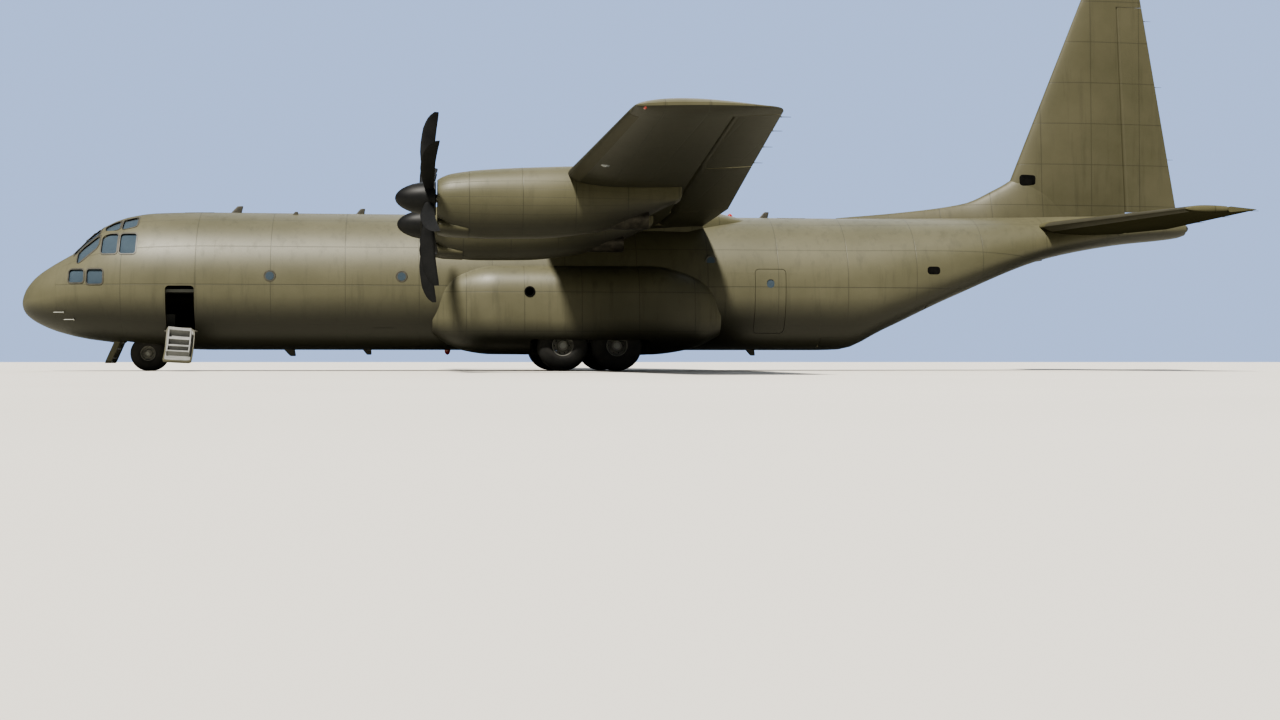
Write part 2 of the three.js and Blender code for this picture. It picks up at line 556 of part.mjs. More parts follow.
// Blade sections: radius, chord, thickness, sweep aft, blade angle in degrees
const BLADE_STATIONS = [
  [0.30, 0.20, 0.13, 0.00, 96],
  [0.60, 0.26, 0.09, -0.03, 92],
  [1.10, 0.34, 0.055, -0.05, 87],
  [1.60, 0.33, 0.035, 0.00, 82],
  [1.92, 0.24, 0.02, 0.09, 79],
  [PROP_RADIUS, 0.10, 0.01, 0.17, 78],
];
const BLADE_OUTLINE = [[0.5, 0], [0.1, 0.5], [-0.5, 0], [0.1, -0.5]];
const BLADE_START = 4;
function blade(y, thrust, degrees) {
  const turn = THREE.MathUtils.degToRad(degrees);
  return loft(BLADE_STATIONS.map(([radius, chord, thickness, sweep, pitch]) => {
    const angle = THREE.MathUtils.degToRad(pitch);
    return BLADE_OUTLINE.map(([along, across]) => {
      const aft = sweep + along * chord * Math.sin(angle) - across * thickness * Math.cos(angle);
      const side = along * chord * Math.cos(angle) + across * thickness * Math.sin(angle);
      return [PROP_PLANE + aft,
        y + side * Math.cos(turn) + radius * Math.sin(turn),
        thrust - side * Math.sin(turn) + radius * Math.cos(turn)];
    });
  }), 3);
}
const SPINNER = [[0, -0.8], [0.1, -0.77], [0.22, -0.64], [0.33, -0.4], [0.4, 0.0], [0.4, 0.15], [0, 0.15]];
const THRUST = [[-10.2, 4.08], [-4.95, 3.86], [4.95, 3.86], [10.2, 4.08]];
THRUST.forEach(([y, thrust], i) => {
  const number = i + 1;
  const form = nacelleForm(y, thrust);
  const hollow = nacelleForm(y, thrust, -NACELLE_WALL);
  const pipe = (radius, from, to) => bar([from, y, thrust - 0.42], [to, y, thrust - 0.42], radius, radius, 14);
  const skin = form.add(pipe(0.27, 15.0, 16.45)).subtract(hollow)
    .subtract(pipe(0.22, 14.9, 16.6))
    .subtract(bar([11.3, y, thrust], [11.7, y, thrust], 0.14, 0.14, 16))
    .subtract(box(11.2, 12.0, y - 0.26, y + 0.26, thrust - 0.74, thrust - 0.52))
    .subtract(Math.abs(y) < WING_BREAK ? centreWing(SEAT) : outerWing(Math.sign(y), SEAT));
  const parts = skin.decompose().sort((a, b) => b.volume() - a.volume());
  add(`nacelle_${number}`, parts[0], AIRFRAME);
  const frame = box(13.3, 13.36, y - 0.7, y + 0.7, thrust - 1, thrust + 0.9)
    .intersect(nacelleForm(y, thrust, -NACELLE_WALL - SEAT));
  add(`engine_${number}`, join(
    bar([11.9, y, thrust], [14.5, y, thrust], 0.36),
    bar([PROP_PLANE + 0.15 + SEAT, y, thrust], [12.2, y, thrust], 0.1), frame), ENGINE);
  const blades = [0, 1, 2, 3, 4, 5].map((n) => blade(y, thrust, BLADE_START + 60 * n));
  add(`propeller_${number}`, join(turned(SPINNER, [PROP_PLANE, y, thrust], 'x', 16), ...blades), BLADE);
});

// Tail: fin with its dorsal fillet, rudder, stabilizer and two elevators
const finFixed = [4.3, RUDDER_HEAD + CLEAR].map((z) => finRing(
  z, fixedOutline(finStation(z).thickness, 0, finStation(z).end, 0)));
const finCap = [RUDDER_HEAD + CLEAR, FIN_TOP - 0.16].map((z) => finRing(
  z, fixedOutline(finStation(z).thickness, 0, 1, 0)));
const finCrown = finRing(FIN_TOP + 0.4, fixedOutline(0.06, 0, 0.9, 0), FIN_TOP);
const dorsal = loft([[23.4, 0.08, 4.53], [27.3, 0.2, 5.0], [28.4, 0.26, 5.5], [29.4, 0.28, 6.0]]
  .map(([x, half, top]) => [[x, -half, 4.3], [x, half, 4.3], [x, 0.4 * half, top], [x, -0.4 * half, top]]), 0);
const finHollow = loft([4.2, RUDDER_HEAD - 0.3].map((z) => finRing(
  z, hollowOutline(finStation(z).thickness, 0.08, 0.6, SKIN / finStation(z).chord))), 2);
const finBrackets = [RUDDER_FOOT, RUDDER_HEAD - BRACKET].map(
  (z) => bracket(finStation, finRing, [z, z + BRACKET], 2));
add('fin', join(loft(finFixed, 2), loft([...finCap, finCrown], 2), dorsal, ...finBrackets)
  .subtract(finHollow)
  .subtract(fuselage(22, LENGTH, SEAT)), AIRFRAME);
const rudderHollow = loft([RUDDER_FOOT - 0.1, RUDDER_HEAD - 0.2].map((z) => finRing(
  z, movingHollow(finStation(z).thickness, finStation(z).hinge, SKIN / finStation(z).chord))), 2);
add('rudder', loft([RUDDER_FOOT, RUDDER_HEAD].map((z) => finRing(
  z, movingOutline(finStation(z).thickness, 0, finStation(z).hinge))), 2)
  .subtract(rudderHollow), AIRFRAME);
const stabilizerHollow = loft([-7.6, 0, 7.6].map((y) => tailRing(
  y, hollowOutline(tailStation(y).thickness, 0.08, 0.6, SKIN / tailStation(y).chord))), 1);
const tailBrackets = [-1, 1].flatMap((side) => [1.05, TAIL_HALF_SPAN - BRACKET - 0.04].map(
  (y) => bracket(tailStation, tailRing, [side * y, side * (y + BRACKET)], 1)));
add('stabilizer', join(stabilizerForm(0).subtract(stabilizerHollow), ...tailBrackets)
  .subtract(box(30.0, 30.6, -0.4, 0.4, 3.6, TAIL_HEIGHT)), AIRFRAME);
['left', 'right'].forEach((side, i) => {
  const s = i ? 1 : -1;
  const hollow = loft([0.95, TAIL_HALF_SPAN - 0.2].map((y) => tailRing(s * y, movingHollow(
    tailStation(y).thickness, tailStation(y).hinge, SKIN / tailStation(y).chord))), 1);
  add(`elevator_${side}`, loft([1.05, TAIL_HALF_SPAN].map((y) => tailRing(
    s * y, movingOutline(tailStation(y).thickness, 0, tailStation(y).hinge))), 1)
    .subtract(hollow), AIRFRAME);
});

// Main gear: a sponson on each side over two legs in tandem, each leg with one wheel
const MAIN_AXLES = [15.06, 16.58];
const MAIN_TRACK = 2.2;
const MAIN_RADIUS = 0.71;
const AXLE = 0.085;
const WHEEL_SIDES = 18;
// Sponson sections: station, outer face, top, bottom
const SPONSON = [
  [11.45, 1.95, 2.35, 1.00],
  [12.1, 2.38, 2.80, 0.66],
  [13.2, 2.70, 3.02, 0.48],
  [17.6, 2.74, 3.02, 0.46],
  [18.8, 2.50, 2.78, 0.62],
  [19.6, 2.00, 2.35, 0.98],
];
const SPONSON_WALL = 0.05;
const sponsonForm = (s, inset) => loft(SPONSON.map(([x, outer, top, bottom], i) => {
  const face = outer - inset;
  const [high, low] = [top - inset, bottom + inset];
  const shift = inset * (i === 0 ? 4 : i === SPONSON.length - 1 ? -4 : 0);
  return [[1.0, 0], [face - 0.3, 0], [face - 0.08, 0.07], [face, 0.2],
    [face, 0.6], [face - 0.12, 0.82], [face - 0.42, 0.96], [1.0, 1]]
    .map(([y, share]) => [x + shift, s * y, low + share * (high - low)]);
}), 0);
// Where an axle runs in a wheel: the bore clears the axle whatever the facets
const boreFor = (radius) => (radius + SEAT) / Math.cos(Math.PI / WHEEL_SIDES);
function tyre(flat, bead, half) {
  const radius = flat / Math.cos(Math.PI / WHEEL_SIDES);
  const flank = bead + 0.45 * (radius - bead);
  return [[bead, -half * 0.8], [flank, -half], [radius * 0.94, -half * 0.86], [radius, -half * 0.5],
    [radius, half * 0.5], [radius * 0.94, half * 0.86], [flank, half], [bead, half * 0.8]];
}
const rim = (bead, half, axle) => [[boreFor(axle), -half * 0.5], [bead * 0.58, -half * 0.5],
  [bead * 0.82, -half * 0.2], [bead * 0.88, -half * 0.8], [bead - SEAT, -half * 0.8],
  [bead - SEAT, half * 0.8], [bead * 0.88, half * 0.8], [bead * 0.82, half * 0.2],
  [bead * 0.58, half * 0.5], [boreFor(axle), half * 0.5]];
['left', 'right'].forEach((side, i) => {
  const s = i ? 1 : -1;
  const belly = fuselage(10, 22, SEAT);
  const well = box(14.15, 17.5, s > 0 ? 1.2 : -2.6, s > 0 ? 2.6 : -1.2, 0.2, 0.9);
  const bulkheads = join(box(14.06, 14.12, s > 0 ? 1.2 : -2.9, s > 0 ? 2.9 : -1.2, 0.3, 3.2),
    box(17.53, 17.59, s > 0 ? 1.2 : -2.9, s > 0 ? 2.9 : -1.2, 0.3, 3.2)).intersect(sponsonForm(s, 0));
  const shell = sponsonForm(s, 0).subtract(sponsonForm(s, SPONSON_WALL)).add(bulkheads)
    .subtract(belly).subtract(well);
  add(`sponson_${side}`, shell.decompose().sort((a, b) => b.volume() - a.volume())[0], AIRFRAME);
  const legs = MAIN_AXLES.flatMap((x) => [
    bar([x, s * 1.7, 0.55], [x, s * 1.7, 1.6], 0.11),
    bar([x, s * 1.7, MAIN_RADIUS], [x, s * (MAIN_TRACK + 0.22), MAIN_RADIUS], AXLE, AXLE, WHEEL_SIDES)]);
  const brace = bar([MAIN_AXLES[0], s * 1.7, 0.86], [MAIN_AXLES[1], s * 1.7, 0.86], 0.06);
  add(`main_gear_${side}`, join(...legs, brace).subtract(belly), GEAR);
  MAIN_AXLES.forEach((x, n) => {
    const name = `${side}_${n ? 'rear' : 'front'}`;
    const centre = [x, s * MAIN_TRACK, MAIN_RADIUS];
    add(`main_tyre_${name}`, turned(tyre(MAIN_RADIUS, 0.3, 0.25), centre, 'y', WHEEL_SIDES), RUBBER);
    add(`main_wheel_${name}`, turned(rim(0.3, 0.25, AXLE), centre, 'y', WHEEL_SIDES), GEAR);
  });
});

// Nose gear: fixed strut under the deck, steered fork, twin wheels and the door ahead of them
const NOSE_X = 3.5;
const NOSE_RADIUS = 0.495;
const NOSE_TRACK = 0.28;
const NOSE_AXLE = 0.055;
add('nose_gear_strut', join(
  bar([NOSE_X, 0, 1.06 + SEAT], [NOSE_X, 0, DECK - 0.08 - SEAT], 0.12),
  bar([NOSE_X, 0, 1.25], [2.75, 0, DECK - 0.12], 0.05)), GEAR);
add('nose_gear_fork', join(
  bar([NOSE_X, 0, NOSE_RADIUS], [NOSE_X, 0, 1.06], 0.08),
  bar([NOSE_X, -0.43, NOSE_RADIUS], [NOSE_X, 0.43, NOSE_RADIUS], NOSE_AXLE, NOSE_AXLE, WHEEL_SIDES)), GEAR);
['left', 'right'].forEach((side, i) => {
  const centre = [NOSE_X, (i ? 1 : -1) * NOSE_TRACK, NOSE_RADIUS];
  add(`nose_tyre_${side}`, turned(tyre(NOSE_RADIUS, 0.21, 0.165), centre, 'y', WHEEL_SIDES), RUBBER);
  add(`nose_wheel_${side}`, turned(rim(0.21, 0.165, NOSE_AXLE), centre, 'y', WHEEL_SIDES), GEAR);
});
const doorPlate = loft([-0.5, 0.5].map((y) => [
  [2.70, y, 0.95], [2.74, y, 0.95], [2.42, y, 0.22], [2.38, y, 0.22]]), 1);
add('nose_gear_door', doorPlate.subtract(fuselage(2, 4, SEAT)), AIRFRAME);

export default aircraft;
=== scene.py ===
import math

import bpy
from mathutils import Matrix, Vector


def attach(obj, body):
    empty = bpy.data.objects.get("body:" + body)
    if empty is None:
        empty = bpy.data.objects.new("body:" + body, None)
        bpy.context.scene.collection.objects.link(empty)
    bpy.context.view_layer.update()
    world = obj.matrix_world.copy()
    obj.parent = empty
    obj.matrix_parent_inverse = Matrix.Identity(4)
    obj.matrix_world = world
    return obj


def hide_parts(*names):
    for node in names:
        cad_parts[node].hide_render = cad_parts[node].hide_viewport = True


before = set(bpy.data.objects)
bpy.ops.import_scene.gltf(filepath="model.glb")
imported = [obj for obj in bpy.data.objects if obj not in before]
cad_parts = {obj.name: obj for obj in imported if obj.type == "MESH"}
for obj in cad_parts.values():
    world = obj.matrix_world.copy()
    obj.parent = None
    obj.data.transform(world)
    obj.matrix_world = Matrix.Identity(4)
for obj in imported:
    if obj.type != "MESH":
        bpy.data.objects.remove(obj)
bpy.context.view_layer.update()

# Photograph's view: a level camera at floor height off the left side, turned seven degrees to the tail.
# A large plain pale floor and sky-like light stand for the studio, with a key light and a soft fill.
CAMERA_PLACE = (-3.1155, -26.5965, 0.131)
CAMERA_TURN = (90.05, 0, -7.047)
FLOOR_WIDTH = 900
LIGHTS = (("key", 7.5, 6, (1.0, 0.96, 0.88), (0.58, 1.0, -1.9)),
          ("fill", 1.2, 60, (0.86, 0.92, 1.0), (-0.5, -1.0, -0.75)))
camera_data = bpy.data.cameras.new("side_view")
camera_data.lens = 51.34
camera_data.sensor_width = 36
camera_data.clip_end = 2000
camera = bpy.data.objects.new("side_view", camera_data)
camera.location = CAMERA_PLACE
camera.rotation_euler = [math.radians(turn) for turn in CAMERA_TURN]
bpy.context.scene.collection.objects.link(camera)
bpy.context.scene.camera = camera


def connect(tree, node, sockets):
    for key, value in sockets.items():
        if isinstance(value, bpy.types.NodeSocket):
            tree.links.new(value, node.inputs[key])
        else:
            node.inputs[key].default_value = value


def shader_node(tree, kind, sockets, **settings):
    made = tree.nodes.new(kind)
    for key, value in settings.items():
        setattr(made, key, value)
    connect(tree, made, sockets)
    return made


def noise(tree, place, scale, detail, roughness=0.5):
    return shader_node(tree, "ShaderNodeTexNoise", {
        "Vector": place, "Scale": scale, "Detail": detail, "Roughness": roughness}).outputs["Fac"]


def blend_colour(tree, share, first, second):
    return shader_node(tree, "ShaderNodeMix", {0: share, 6: first, 7: second}, data_type="RGBA").outputs[2]


def new_material(name):
    material = bpy.data.materials.new(name)
    material.use_nodes = True
    tree = material.node_tree
    place = tree.nodes.new("ShaderNodeTexCoord").outputs["Object"]
    return material, tree, tree.nodes["Principled BSDF"], place


floor_paint, tree, shader, place = new_material("studio_floor")
pale = blend_colour(tree, noise(tree, place, 0.35, 4.0), (0.60, 0.57, 0.52, 1), (0.66, 0.63, 0.575, 1))
seen = tree.nodes.new("ShaderNodeLightPath").outputs["Is Camera Ray"]
connect(tree, shader, {
    "Base Color": blend_colour(tree, seen, (0.46, 0.445, 0.375, 1), pale), "Roughness": 0.9})
bpy.ops.object.select_all(action="DESELECT")
bpy.ops.mesh.primitive_plane_add(size=FLOOR_WIDTH)
floor = bpy.context.object
floor.name = "studio_floor"
floor.data.materials.append(floor_paint)

world = bpy.data.worlds.new("studio")
world.use_nodes = True
sky = world.node_tree
seen = sky.nodes.new("ShaderNodeLightPath").outputs["Is Camera Ray"]
connect(sky, sky.nodes["Background"], {
    "Color": blend_colour(sky, seen, (0.125, 0.137, 0.16, 1), (0.46, 0.62, 0.97, 1)), "Strength": 1.0})
bpy.context.scene.world = world
bpy.context.scene.view_settings.look = "AgX - Medium High Contrast"

for name, energy, spread, colour, towards in LIGHTS:
    lamp_data = bpy.data.lights.new(name, "SUN")
    lamp_data.energy = energy
    lamp_data.angle = math.radians(spread)
    lamp_data.color = colour
    lamp = bpy.data.objects.new(name, lamp_data)
    lamp.rotation_euler = Vector(towards).to_track_quat("-Z", "Y").to_euler()
    bpy.context.scene.collection.objects.link(lamp)

# Fuselage skin: aluminium sheet riveted over frames in three barrels, painted olive grey outside.
# The flight deck, hold and upswept tail barrels are joined end to end, behind a moulded radome.
# Sizes are in the real aeroplane's metres, with stations aft of its nose, and half_size halves them.
LENGTH = 34.36
SCALE = 0.5
AROUND = 96
SHEET = 0.035
RADOME_END = 1.12
FORWARD_END = 5.5
HOLD_END = 22.5
# Each row: station, half width, top, widest level, bottom and the lower half's squareness.
HULL = [
    (0.00, 0.01, 1.915, 1.905, 1.895, 2.0),
    (0.015, 0.12, 2.02, 1.905, 1.79, 2.0),
    (0.05, 0.24, 2.14, 1.91, 1.69, 2.0),
    (0.12, 0.40, 2.30, 1.92, 1.58, 2.0),
    (0.42, 0.78, 2.66, 1.98, 1.35, 2.0),
    (0.90, 1.14, 3.00, 2.05, 1.13, 2.0),
    (1.12, 1.27, 3.13, 2.09, 1.06, 2.0),
    (1.45, 1.44, 3.32, 2.14, 0.97, 2.1),
    (1.85, 1.60, 3.72, 2.21, 0.89, 2.2),
    (2.30, 1.74, 4.08, 2.26, 0.83, 2.2),
    (2.90, 1.90, 4.34, 2.32, 0.76, 2.3),
    (3.70, 2.04, 4.47, 2.36, 0.69, 2.4),
    (5.20, 2.13, 4.51, 2.38, 0.60, 2.5),
    (22.6, 2.13, 4.51, 2.38, 0.60, 2.5),
    (23.4, 2.13, 4.51, 2.40, 0.62, 2.6),
    (24.6, 2.10, 4.52, 2.55, 1.16, 2.8),
    (26.6, 1.95, 4.55, 3.00, 2.11, 3.0),
    (29.7, 1.45, 4.62, 3.75, 3.33, 2.6),
    (32.0, 0.90, 4.66, 4.10, 3.78, 2.2),
    (34.0, 0.36, 4.55, 4.28, 4.02, 2.0),
    (34.36, 0.14, 4.44, 4.30, 4.16, 2.0),
]


def half_size(x, y, z):
    return Vector(((x - LENGTH / 2) * SCALE, y * SCALE, z * SCALE))


def gentler(before, after):
    return 2 * before * after / (before + after) if before * after > 0 else 0.0


def row_at(rows, x):
    last = len(rows) - 1
    k = min(max(sum(row[0] <= x for row in rows) - 1, 0), last - 1)
    a, b = rows[k], rows[k + 1]
    run = b[0] - a[0]
    t = (x - a[0]) / run
    values = []
    for c in range(1, len(a)):
        rise = (b[c] - a[c]) / run
        before = (a[c] - rows[k - 1][c]) / (a[0] - rows[k - 1][0]) if k else rise
        after = (rows[k + 2][c] - b[c]) / (rows[k + 2][0] - b[0]) if k + 2 <= last else rise
        values.append((2 * t ** 3 - 3 * t ** 2 + 1) * a[c] + (3 * t ** 2 - 2 * t ** 3) * b[c]
                      + (t ** 3 - 2 * t ** 2 + t) * run * gentler(before, rise)
                      + (t ** 3 - t ** 2) * run * gentler(rise, after))
    return values


def turns(count):
    return [2 * math.pi * k / count for k in range(count)]


def hull_ring(x, grow):
    width, top, middle, bottom, square = row_at(HULL, x)
    ring = []
    for angle in turns(AROUND):
        c, s = math.cos(angle), math.sin(angle)
        upper = s >= -1e-9
        power = 1.0 if upper else 2 / square
        height = (top + grow - middle) * s if upper else -(middle - bottom + grow) * abs(s) ** power
        ring.append((x, (width + grow) * math.copysign(abs(c) ** power, c), middle + height))
    return ring


def hull_stations(start, stop, step=0.3):
    straight, straight_step = (5.3, 22.5), 1.5
    ordered = sorted({start, stop} | {row[0] for row in HULL if start < row[0] < stop})
    stations = []
    for a, b in zip(ordered, ordered[1:]):
        curved = b < straight[0] or a > straight[1]
        pieces = max(1, round((b - a) / (step if curved else straight_step)))
        stations += [a + (b - a) * k / pieces for k in range(pieces)]
    return stations + [stop]


def select_only(*pieces):
    bpy.ops.object.select_all(action="DESELECT")
    for piece in pieces:
        piece.select_set(True)
    bpy.context.view_layer.objects.active = pieces[0]


def skin_over(name, rings, closed=True, smooth=35):
    around = len(rings[0])
    bpy.ops.object.select_all(action="DESELECT")
    bpy.ops.mesh.primitive_grid_add(x_subdivisions=around, y_subdivisions=len(rings) - 1)
    piece = bpy.context.object
    piece.name = piece.data.name = name
    corners = [half_size(*ring[i % around]) for ring in rings for i in range(around + 1)]
    piece.data.vertices.foreach_set("co", [value for corner in corners for value in corner])
    bpy.ops.object.mode_set(mode="EDIT")
    bpy.ops.mesh.select_all(action="SELECT")
    bpy.ops.mesh.remove_doubles(threshold=1e-5)
    if closed:
        bpy.ops.mesh.fill_holes(sides=0)
    bpy.ops.mesh.select_all(action="SELECT")
    bpy.ops.mesh.normals_make_consistent(inside=False)
    bpy.ops.object.mode_set(mode="OBJECT")
    bpy.ops.object.shade_smooth_by_angle(angle=math.radians(smooth))
    return piece


def hollow_skin(name, rings, smooth=35):
    return skin_over(name, rings + rings[:1], closed=False, smooth=smooth)


def hull_tube(name, start, stop, outside, inside):
    stations = hull_stations(start, stop)
    return hollow_skin(name, [hull_ring(x, outside) for x in stations]
                       + [hull_ring(x, inside) for x in reversed(stations)])


def rounded_block(x0, x1, y0, y1, z0, z1, along, radius):
    low, high = half_size(x0, y0, z0), half_size(x1, y1, z1)
    bpy.ops.object.select_all(action="DESELECT")
    bpy.ops.mesh.primitive_cube_add(size=1, location=(low + high) / 2, scale=high - low)
    block = bpy.context.object
    bpy.ops.object.transform_apply(location=True, rotation=True, scale=True)
    for edge in block.data.edges:
        a, b = (block.data.vertices[v].co for v in edge.vertices)
        edge.select = abs((a - b).normalized()["xyz".index(along)]) > 0.99
    bpy.ops.object.mode_set(mode="EDIT")
    bpy.ops.mesh.select_mode(type="EDGE")
    bpy.ops.mesh.bevel(offset=radius * SCALE, segments=5, affect="EDGES")
    bpy.ops.object.mode_set(mode="OBJECT")
    return block


def side_block(side, x0, x1, z0, z1, radius):
    near, far = 1.0, 2.6
    low, high = sorted((side * near, side * far))
    return rounded_block(x0, x1, low, high, z0, z1, "y", radius)


def doorway(door, side, grow, radius):
    x0, x1, z0, z1 = door
    return side_block(side, x0 - grow, x1 + grow, z0 - grow, z1 + grow, radius)


def joined(name, blocks):
    select_only(*blocks)
    if len(blocks) > 1:
        bpy.ops.object.join()
    blocks[0].name = blocks[0].data.name = name
    return blocks[0]


def carve(piece, tool, operation="DIFFERENCE", smooth=35):
    cut = piece.modifiers.new("carve", "BOOLEAN")
    cut.operation = operation
    cut.solver = "EXACT"
    cut.object = tool
    select_only(piece)
    bpy.ops.object.modifier_apply(modifier="carve")
    bpy.data.objects.remove(tool)
    bpy.ops.object.shade_smooth_by_angle(angle=math.radians(smooth))
    return piece


def painted(piece, material):
    piece.data.materials.clear()
    piece.data.materials.append(material)


def finish_piece(piece, material, *nodes, body="airframe", slot="airframe"):
    painted(piece, material)
    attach(piece, body)
    if nodes:
        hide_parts(*nodes)


def maths(tree, operation, first, second=0.0, clamp=False):
    return shader_node(tree, "ShaderNodeMath", {0: first, 1: second},
                       operation=operation, use_clamp=clamp).outputs[0]


def times(tree, first, second):
    return maths(tree, "MULTIPLY", first, second)


def between(tree, value, low, high, start=0.0, end=1.0):
    return shader_node(tree, "ShaderNodeMapRange", {
        "Value": value, "From Min": low, "From Max": high, "To Min": start, "To Max": end}).outputs[0]


def add_bump(tree, shader, height, strength, distance):
    bump = shader_node(tree, "ShaderNodeBump", {"Height": height, "Strength": strength, "Distance": distance})
    tree.links.new(bump.outputs["Normal"], shader.inputs["Normal"])


def new_group(name, inputs, outputs):
    tree = bpy.data.node_groups.new(name, "ShaderNodeTree")
    for label, value in inputs.items():
        kind = "NodeSocketFloat" if isinstance(value, float) else "NodeSocketColor"
        tree.interface.new_socket(label, in_out="INPUT", socket_type=kind).default_value = value
    for label, kind in outputs.items():
        tree.interface.new_socket(label, in_out="OUTPUT", socket_type=kind)
    return tree, tree.nodes.new("NodeGroupInput").outputs, tree.nodes.new("NodeGroupOutput")


# Weathering and seams are two node groups that every painted piece takes its paint through.
wear, given, out = new_group("weathered_paint", {
    "Paint": (0.2, 0.19, 0.13, 1), "Faded": (0.3, 0.28, 0.2, 1), "Grime": (0.05, 0.04, 0.03, 1),
    "Streaks": 0.4, "Gloss": 0.55,
}, {"Color": "NodeSocketColor", "Roughness": "NodeSocketFloat", "Height": "NodeSocketFloat"})
place = wear.nodes.new("ShaderNodeTexCoord").outputs["Object"]
cloud = between(wear, noise(wear, place, 0.7, 6.0, 0.6), 0.36, 0.66)
mottle = between(wear, noise(wear, place, 9.0, 4.0, 0.6), 0.3, 0.7)
grain = noise(wear, place, 140.0, 2.0)
stretched = shader_node(wear, "ShaderNodeMapping", {"Vector": place, "Scale": (4.0, 4.0, 0.35)})
streak = between(wear, noise(wear, stretched.outputs[0], 2.2, 5.0, 0.65), 0.52, 0.8)
streak = times(wear, streak, given["Streaks"])
colour = blend_colour(wear, times(wear, cloud, 0.8), given["Paint"], given["Faded"])
colour = blend_colour(wear, times(wear, mottle, 0.14), colour, given["Faded"])
rough = maths(wear, "ADD", given["Gloss"], times(wear, grain, 0.14))
connect(wear, out, {
    "Color": blend_colour(wear, streak, colour, given["Grime"]),
    "Roughness": maths(wear, "ADD", rough, times(wear, streak, 0.15), clamp=True),
    "Height": times(wear, grain, 0.25)})

seams, given, out = new_group("panel_seams", {
    "Along": 0.0, "Across": 0.0, "Long": 1.0, "Wide": 0.6, "Line": 0.006,
}, {"Seam": "NodeSocketFloat", "Rivet": "NodeSocketFloat"})


def seam_distance(place, pitch):
    share = maths(seams, "FRACT", maths(seams, "DIVIDE", place, pitch))
    off = maths(seams, "ABSOLUTE", maths(seams, "SUBTRACT", share, 0.5))
    return times(seams, maths(seams, "SUBTRACT", 0.5, off), pitch)


def dark_within(value, low, high):
    return maths(seams, "SUBTRACT", 1.0, between(seams, value, low, high), clamp=True)


RIVET_ROW = 0.014
RIVET_PITCH = 0.034
RIVET_HEAD = (0.0025, 0.0045)
lines = []
dots = []
for first, pitch, other in (("Along", "Long", "Across"), ("Across", "Wide", "Along")):
    distance = seam_distance(given[first], given[pitch])
    lines.append(dark_within(maths(seams, "DIVIDE", distance, given["Line"]), 0.35, 1.0))
    beside = maths(seams, "ABSOLUTE", maths(seams, "SUBTRACT", distance, RIVET_ROW))
    down = seam_distance(given[other], RIVET_PITCH)
    squares = maths(seams, "ADD", times(seams, beside, beside), times(seams, down, down))
    dots.append(dark_within(maths(seams, "SQRT", squares), *RIVET_HEAD))
connect(seams, out, {"Seam": maths(seams, "MAXIMUM", *lines), "Rivet": maths(seams, "MAXIMUM", *dots)})

# Pitches and places of a paint's pattern are in the half-scale model's own metres.
OLIVE = (0.081, 0.077, 0.044, 1)
OLIVE_FADED = (0.117, 0.110, 0.068, 1)
# This dark tone serves real grime streaks, seams and rivets, and also the painted shade of undersides and
# belly.
GRIME_AND_SHADE = (0.0145, 0.0142, 0.0078, 1)
SOOT = (0.02, 0.018, 0.015, 1)
SEAMLESS = (60.0, 60.0)
BARREL_RADIUS = 1.07
BARREL_CENTRE = (0.0, 1.19)
SEAM_SHADE = 0.55
RIVET_SHADE = 0.3


# Besides real wear, seams, rivets and soot, this paint carries painted shade on down-facing surfaces and,
# where given, on the belly.
def airframe_paint(name, layout, pitch=(1.016, 0.56), paint=OLIVE, faded=OLIVE_FADED, streaks=0.35,
                   belly_shade=None, centre=BARREL_CENTRE, gloss=0.42, soot=None, under_shade=0.85, shine=0.5):
    material, tree, shader, place = new_material(name)
    x, y, z = shader_node(tree, "ShaderNodeSeparateXYZ", {"Vector": place}).outputs
    if layout == "barrel":
        angle = maths(tree, "ARCTAN2", maths(tree, "SUBTRACT", z, centre[1]),
                      maths(tree, "SUBTRACT", y, centre[0]))
        across = times(tree, angle, BARREL_RADIUS)
    else:
        across = y if layout == "wing" else z
    panels = shader_node(tree, "ShaderNodeGroup", {
        "Along": x, "Across": across, "Long": pitch[0], "Wide": pitch[1]}, node_tree=seams).outputs
    surface = shader_node(tree, "ShaderNodeGroup", {
        "Paint": paint, "Faded": faded, "Grime": GRIME_AND_SHADE, "Streaks": streaks, "Gloss": gloss,
    }, node_tree=wear).outputs
    # Painted shade: surfaces that face downwards are blended towards the dark tone.
    normal = tree.nodes.new("ShaderNodeTexCoord").outputs["Normal"]
    facing_up = shader_node(tree, "ShaderNodeSeparateXYZ", {"Vector": normal}).outputs["Z"]
    shade = between(tree, facing_up, -0.02, -0.62, 0.0, under_shade)
    colour = blend_colour(tree, shade, surface["Color"], GRIME_AND_SHADE)
    # Painted shade: the paint darkens towards the bottom, below the given levels, with a little noise.
    if belly_shade:
        level = maths(tree, "ADD", z, times(tree, noise(tree, place, 1.3, 5.0), 0.16))
        colour = blend_colour(tree, between(tree, level, *belly_shade, 0.92, 0.0), colour, GRIME_AND_SHADE)
    if soot:
        behind, above = soot
        trail = times(tree, between(tree, x, *behind, 0.0, 0.85), between(tree, z, *above, 1.0, 0.0))
        colour = blend_colour(tree, trail, colour, SOOT)
    for mark, strength in (("Seam", SEAM_SHADE), ("Rivet", RIVET_SHADE)):
        colour = blend_colour(tree, times(tree, panels[mark], strength), colour, GRIME_AND_SHADE)
    connect(tree, shader, {
        "Base Color": colour, "Roughness": surface["Roughness"], "Specular IOR Level": shine})
    height = maths(tree, "SUBTRACT", surface["Height"], panels["Seam"])
    height = maths(tree, "ADD", height, times(tree, panels["Rivet"], 0.3))
    add_bump(tree, shader, height, 0.35, 0.003)
    return material


